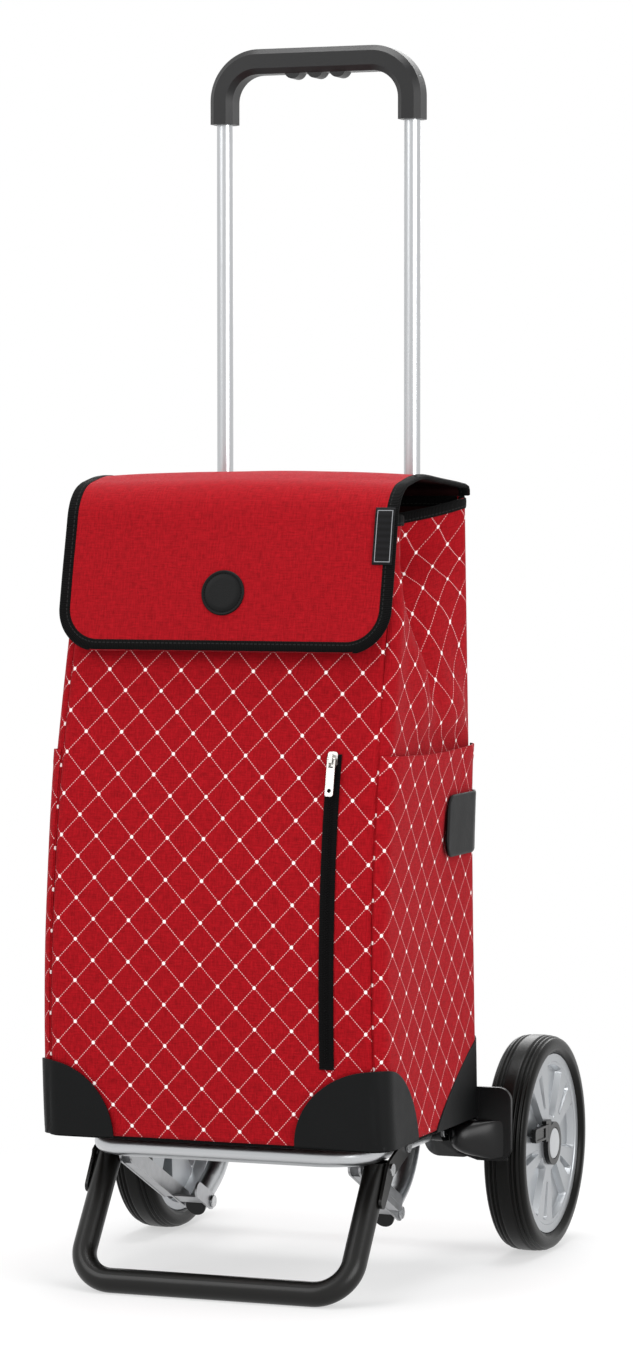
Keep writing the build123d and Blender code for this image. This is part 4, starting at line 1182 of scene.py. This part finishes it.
# A point on the lid: s is the distance along its line from the back seam, x the place across it.
def lidPoint(s, x, lift=0.0):
    ahead = (lidAlong(s + 9.0) - lidAlong(s - 9.0)).normalized()
    out = Vector((ahead.y, -ahead.x))
    share = s / lidLength
    across = 1 - (x / lid["half"]) ** 2
    rise = lift + lid["puff"] * across * hill(share, lid["puffAt"], lid["puffWide"])
    if share < lid["topShare"]:
        rise += lid["crown"] * across * math.sin(math.pi * share / lid["topShare"]) ** 0.8
    ripple = soft(x / lid["rippleWide"], s / lid["rippleLong"], 2.2)
    rise += lid["ripple"] * ripple * min(1.0, share * 4)
    spot = lidAlong(s) + out * rise
    return (x, spot.x, spot.y)


def lidHalf(s):
    c = lid["corner"]
    down = s - (lidLength - c)
    if down <= 0:
        return lid["half"]
    return lid["half"] - c + math.sqrt(max(0.0, c * c - down * down))


def lidWhere(u, v):
    s = lidLength * v
    x = (2 * u - 1) * lidHalf(min(s, lidLength - 0.4))
    return lidPoint(s, -x, lid["cloth"] / 2), (x, s)


lidSheet = gridPiece("lidCloth", 60, 110, lidWhere)
dress(lidSheet, [plainCanvas, backCanvas], "lid", ["lid_panel"], lid["cloth"])

# Tape sewn over the lid's hinge seam, inside the cloth, so the lid stays joined to the back as it opens.
hingeTape = {
    "y": -24.5, "low": 694.0, "high": 706.0, "half": 151.0, "turnLow": 697.5, "turnHigh": 703.5, "thick": 1.4,
}


def hingeWhere(u, v):
    x = (2 * u - 1) * hingeTape["half"]
    z = hingeTape["low"] + v * (hingeTape["high"] - hingeTape["low"])
    return (x, hingeTape["y"], z), (x, z)


hinge = gridPiece("lidHingeTape", 30, 16, hingeWhere)
hinge.data.materials.append(edgeTape)
skin = hinge.modifiers.new("tape", "SOLIDIFY")
skin.thickness = hingeTape["thick"] / 1000
skin.offset = 0.0
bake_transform(hinge)

# The binding follows the lid's free edge: down one side, along the front and up the other.
# Each stop on it has its run and place across, then the direction in from the edge.
band = {
    "sideCount": 70, "cornerCount": 24, "frontCount": 60, "start": 1.0,
    "section": (
        (9.5, 1.4), (8.0, 1.9), (4.0, 2.2), (0.6, 1.9), (-1.2, 0.6),
        (-1.2, -0.6), (0.6, -1.9), (4.0, -2.2), (8.0, -1.9), (9.5, -1.4),
    ),
}


def bandStops():
    c = lid["corner"]
    run = lidLength - c
    stops = []
    for k in range(band["sideCount"] + 1):
        stops.append((band["start"] + (run - band["start"]) * k / band["sideCount"], lid["half"], 0.0, -1.0))
    for k in range(1, band["cornerCount"] + 1):
        a = math.pi / 2 * k / band["cornerCount"]
        across = lid["half"] - c + c * math.cos(a)
        stops.append((run + c * math.sin(a), across, -math.sin(a), -math.cos(a)))
    mirrored = [(s, -x, ds, -dx) for s, x, ds, dx in reversed(stops)]
    for k in range(1, band["frontCount"]):
        stops.append((lidLength, (lid["half"] - c) * (1 - 2 * k / band["frontCount"]), -1.0, 0.0))
    return stops + mirrored


def bandPiece(name, stops, section):
    points = []
    flats = []
    run = 0.0
    wide = len(section)
    for k, (s, x, ds, dx) in enumerate(stops):
        if k:
            run += (Vector(lidPoint(s, x)) - Vector(lidPoint(*stops[k - 1][:2]))).length
        for d, h in section:
            points.append(place(*lidPoint(s + ds * d, x + dx * d, h)))
            flats.append((run / 1000, d / 1000))
    faces = []
    for k in range(len(stops) - 1):
        for i in range(wide):
            m = (i + 1) % wide
            faces.append((k * wide + i, k * wide + m, (k + 1) * wide + m, (k + 1) * wide + i))
    faces.append(tuple(reversed(range(wide))))
    faces.append(tuple((len(stops) - 1) * wide + i for i in range(wide)))
    return meshPiece(name, points, faces, flats)


dress(bandPiece("lidBinding", bandStops(), band["section"]), [edgeTape], "lid")
print("lid made")


def lidRunAt(z):
    s = lidLength
    while lidAlong(s).y < z:
        s -= 0.5
    return s


# Round leather patch on the flap. Each ring has its radius and how far it rises over the leather's face.
badge = {
    "z": 615.0, "lay": 1.4, "thick": 1.2, "count": 72,
    "rings": (
        (6.0, 0.0), (12.0, 0.0), (15.6, 0.05), (16.4, -0.3), (17.2, -0.45),
        (18.0, -0.3), (18.8, 0.1), (19.4, 0.0), (20.0, -0.5), (20.0, -1.3),
    ),
    "stitches": 46, "stitchRadius": 17.2, "stitchSink": 0.2, "stitchSize": (0.85, 0.3, 0.3),
}
badgeRun = lidRunAt(badge["z"])


def badgePoint(r, a, lift):
    return lidPoint(badgeRun - r * math.sin(a), r * math.cos(a), lift)


def badgePiece(name):
    count = badge["count"]
    points = []
    flats = []
    for r, rise in badge["rings"]:
        for k in range(count):
            a = 2 * math.pi * k / count
            points.append(place(*badgePoint(r, a, badge["lay"] + badge["thick"] + rise)))
            flats.append((r * math.cos(a) / 1000, r * math.sin(a) / 1000))
    last = len(badge["rings"]) - 1
    faces = [tuple(range(count))]
    for j in range(last):
        for k in range(count):
            n = (k + 1) % count
            faces.append((j * count + k, (j + 1) * count + k, (j + 1) * count + n, j * count + n))
    faces.append(tuple(last * count + k for k in reversed(range(count))))
    return meshPiece(name, points, faces, flats)


dress(badgePiece("lidBadge"), [softLeather], "lid", ["lid_badge"])
threads = []
for k in range(badge["stitches"]):
    a = 2 * math.pi * k / badge["stitches"]
    r = badge["stitchRadius"]
    spot = Vector(badgePoint(r, a, badge["lay"] + badge["thick"] - badge["stitchSink"]))
    above = Vector(lidPoint(badgeRun - r * math.sin(a) - 1, r * math.cos(a)))
    up = (above - Vector(badgePoint(r, a, 0.0))).normalized()
    right = Vector((1, 0, 0))
    along = (right * -math.sin(a) + up * math.cos(a)).normalized()
    cross = (right * math.cos(a) + up * math.sin(a)).normalized()
    threads.append((spot, along, cross, cross.cross(along), badge["stitchSize"]))
dress(boxesPiece("badgeStitches", threads), [edgeTape], "lid")

# Damask-woven label folded over the lid's edge: a tight black satin weave with one fine grey border thread.
# The picks carry painted shade, darker in their hollows and lighter on their crests.
label = {
    "z": 665.0, "wide": 18.0, "high": 50.0, "thick": 1.1, "inset": 19.0,
    "lay": 3.0, "curl": 1.6, "curlFrom": 0.55,
    "dark": "#060607", "light": "#111113", "border": "#8d8f92", "rough": 0.6, "depth": 0.1,
    "pick": 0.9,                        # mm, drawn coarser than the real 0.2 mm so that it shows
    "borderX": 2.2, "borderZ": 2.6, "borderWidth": 0.64,
}


def wovenLabel():
    material, tree, shader = newMaterial("black woven label", label["rough"], ior=1.46, shine=0.15)
    flat = addNode(tree, "UVMap", uv_map="flat").outputs["UV"]
    axes = addNode(tree, "SeparateXYZ", {0: flat})
    picks = {"Vector": flat, "Scale": 1000 / label["pick"] / 20, "Distortion": 1.0}  # 20 bands to a unit
    weave = addNode(tree, "TexWave", picks, bands_direction="Y").outputs["Fac"]
    # Painted shade: the picks' height also sets the colour, darker in the hollows and lighter on the crests.
    tones = {6: hexColour(label["dark"]), 7: hexColour(label["light"])}
    groundWithPaintedShade = addNode(tree, "Mix", {0: weave, **tones}, data_type="RGBA").outputs[2]
    sides = []
    halfX = label["wide"] / 2 - label["borderX"]
    halfZ = label["high"] / 2 - label["borderZ"]
    for axis, half in (("X", halfX), ("Y", halfZ)):
        off = addNode(tree, "Math", {0: axes.outputs[axis]}, operation="ABSOLUTE").outputs[0]
        sides.append(addNode(tree, "Math", {0: off, 1: half / 1000}, operation="SUBTRACT").outputs[0])
    outer = addNode(tree, "Math", {0: sides[0], 1: sides[1]}, operation="MAXIMUM").outputs[0]
    outer = addNode(tree, "Math", {0: outer}, operation="ABSOLUTE").outputs[0]
    near = addNode(tree, "Math", {0: outer, 1: label["borderWidth"] / 2000}, operation="LESS_THAN").outputs[0]
    bordered = {0: near, 6: groundWithPaintedShade, 7: hexColour(label["border"])}
    colour = addNode(tree, "Mix", bordered, data_type="RGBA").outputs[2]
    bump = addNode(tree, "Bump", {"Height": weave, "Strength": 1.0, "Distance": label["depth"] / 1000})
    linkShader(tree, shader, {"Base Color": colour, "Normal": bump.outputs["Normal"]})
    return material


labelRun = lidRunAt(label["z"])


def labelWhere(u, v):
    s = labelRun + label["high"] * (0.5 - v)
    x = lid["half"] - label["inset"] + label["wide"] * u
    lift = label["lay"] - label["curl"] * max(0.0, u - label["curlFrom"]) ** 2
    return lidPoint(s, x, lift), (label["wide"] * (u - 0.5), label["high"] * (v - 0.5))


tab = gridPiece("lidLabel", 16, 30, labelWhere)
dress(tab, [wovenLabel()], "lid", ["label_tab"], label["thick"])
print("badge and label made")

# Studio: a pale floor that fades to white away from the object and keeps its shadow, and four soft lamps.
# Each lamp has its name, place and size in metres, and power in watts.
studio = {
    "floor": "#f4f4f4", "floorHalf": 8.0, "fadeFrom": 0.3, "fadeTo": 0.75, "fadeLeast": 0.55,
    "white": "#ffffff", "ambient": 0.5, "aim": (0, 0, 0.5),
    "lamps": (
        ("keyLamp", (-1.7, -2.4, 2.3), 2.2, 40.0),
        ("fillLamp", (2.6, -1.6, 1.3), 2.0, 46.0),
        ("topLamp", (0.1, 0.1, 2.9), 1.8, 52.0),
        ("rearLamp", (-0.6, 2.6, 1.7), 1.8, 26.0),
    ),
}


# One where the camera sees the surface, straight, in a reflection or through something clear.
def seenShare(tree):
    path = addNode(tree, "LightPath").outputs
    rays = {0: path["Is Camera Ray"], 1: path["Is Glossy Ray"]}
    seen = addNode(tree, "Math", rays, operation="MAXIMUM").outputs[0]
    return addNode(tree, "Math", {0: seen, 1: path["Is Transmission Ray"]}, operation="MAXIMUM").outputs[0]


def paleFloor():
    material = bpy.data.materials.new("pale studio floor")
    material.use_nodes = True
    tree = material.node_tree
    tree.nodes.remove(tree.nodes["Principled BSDF"])
    matt = addNode(tree, "BsdfDiffuse", {"Color": hexColour(studio["floor"])}).outputs[0]
    white = addNode(tree, "Emission", {"Color": hexColour(studio["white"]), "Strength": 1.0}).outputs[0]
    where = addNode(tree, "TexCoord").outputs["Object"]
    away = addNode(tree, "VectorMath", {0: where}, operation="LENGTH").outputs["Value"]
    ramp = {"From Min": studio["fadeFrom"], "From Max": studio["fadeTo"], "To Min": studio["fadeLeast"]}
    fade = addNode(tree, "MapRange", {"Value": away, **ramp}, interpolation_type="SMOOTHSTEP").outputs[0]
    share = addNode(tree, "Math", {0: fade, 1: seenShare(tree)}, operation="MULTIPLY").outputs[0]
    mix = addNode(tree, "MixShader", {0: share, 1: matt, 2: white})
    tree.links.new(mix.outputs[0], tree.nodes["Material Output"].inputs["Surface"])
    return material


reach = studio["floorHalf"]
floorMesh = bpy.data.meshes.new("studioFloor")
corners = [(-reach, -reach, 0), (reach, -reach, 0), (reach, reach, 0), (-reach, reach, 0)]
floorMesh.from_pydata(corners, [], [(0, 1, 2, 3)])
floorMesh.materials.append(paleFloor())
floor = bpy.data.objects.new("studioFloor", floorMesh)
scene.collection.objects.link(floor)

world = bpy.data.worlds.new("studio")
world.use_nodes = True
scene.world = world
sky = world.node_tree.nodes["Background"]
sky.inputs["Color"].default_value = hexColour(studio["white"])
glow = {"Value": seenShare(world.node_tree), "To Min": studio["ambient"], "To Max": 1.0}
level = addNode(world.node_tree, "MapRange", glow).outputs[0]
world.node_tree.links.new(level, sky.inputs["Strength"])
for name, spot, size, power in studio["lamps"]:
    data = bpy.data.lights.new(name, "AREA")
    data.shape = "DISK"
    data.size = size
    data.energy = power
    lamp = bpy.data.objects.new(name, data)
    lamp.location = spot
    lamp.rotation_euler = (Vector(studio["aim"]) - Vector(spot)).to_track_quat("-Z", "Y").to_euler()
    scene.collection.objects.link(lamp)

# Camera at the photograph's viewing angle: place in metres, angles in degrees, focal length in its pixels.
camera = {
    "spot": (1.45265, -3.77385, 0.70638), "turn": 20.84, "dip": 2.40,
    "focal": 4432.0, "tall": 1350.0, "film": 36.0,
}
eye = bpy.data.cameras.new("photoCamera")
eye.sensor_fit = "VERTICAL"
eye.sensor_height = camera["film"]
eye.lens = camera["film"] * camera["focal"] / camera["tall"]
viewer = bpy.data.objects.new("photoCamera", eye)
turn = math.radians(camera["turn"])
dip = math.radians(camera["dip"])
ahead = Vector((-math.sin(turn) * math.cos(dip), math.cos(turn) * math.cos(dip), -math.sin(dip)))
viewer.location = camera["spot"]
viewer.rotation_euler = ahead.to_track_quat("-Z", "Y").to_euler()
scene.collection.objects.link(viewer)
scene.camera = viewer
scene.view_settings.view_transform = "Standard"
print("studio made")
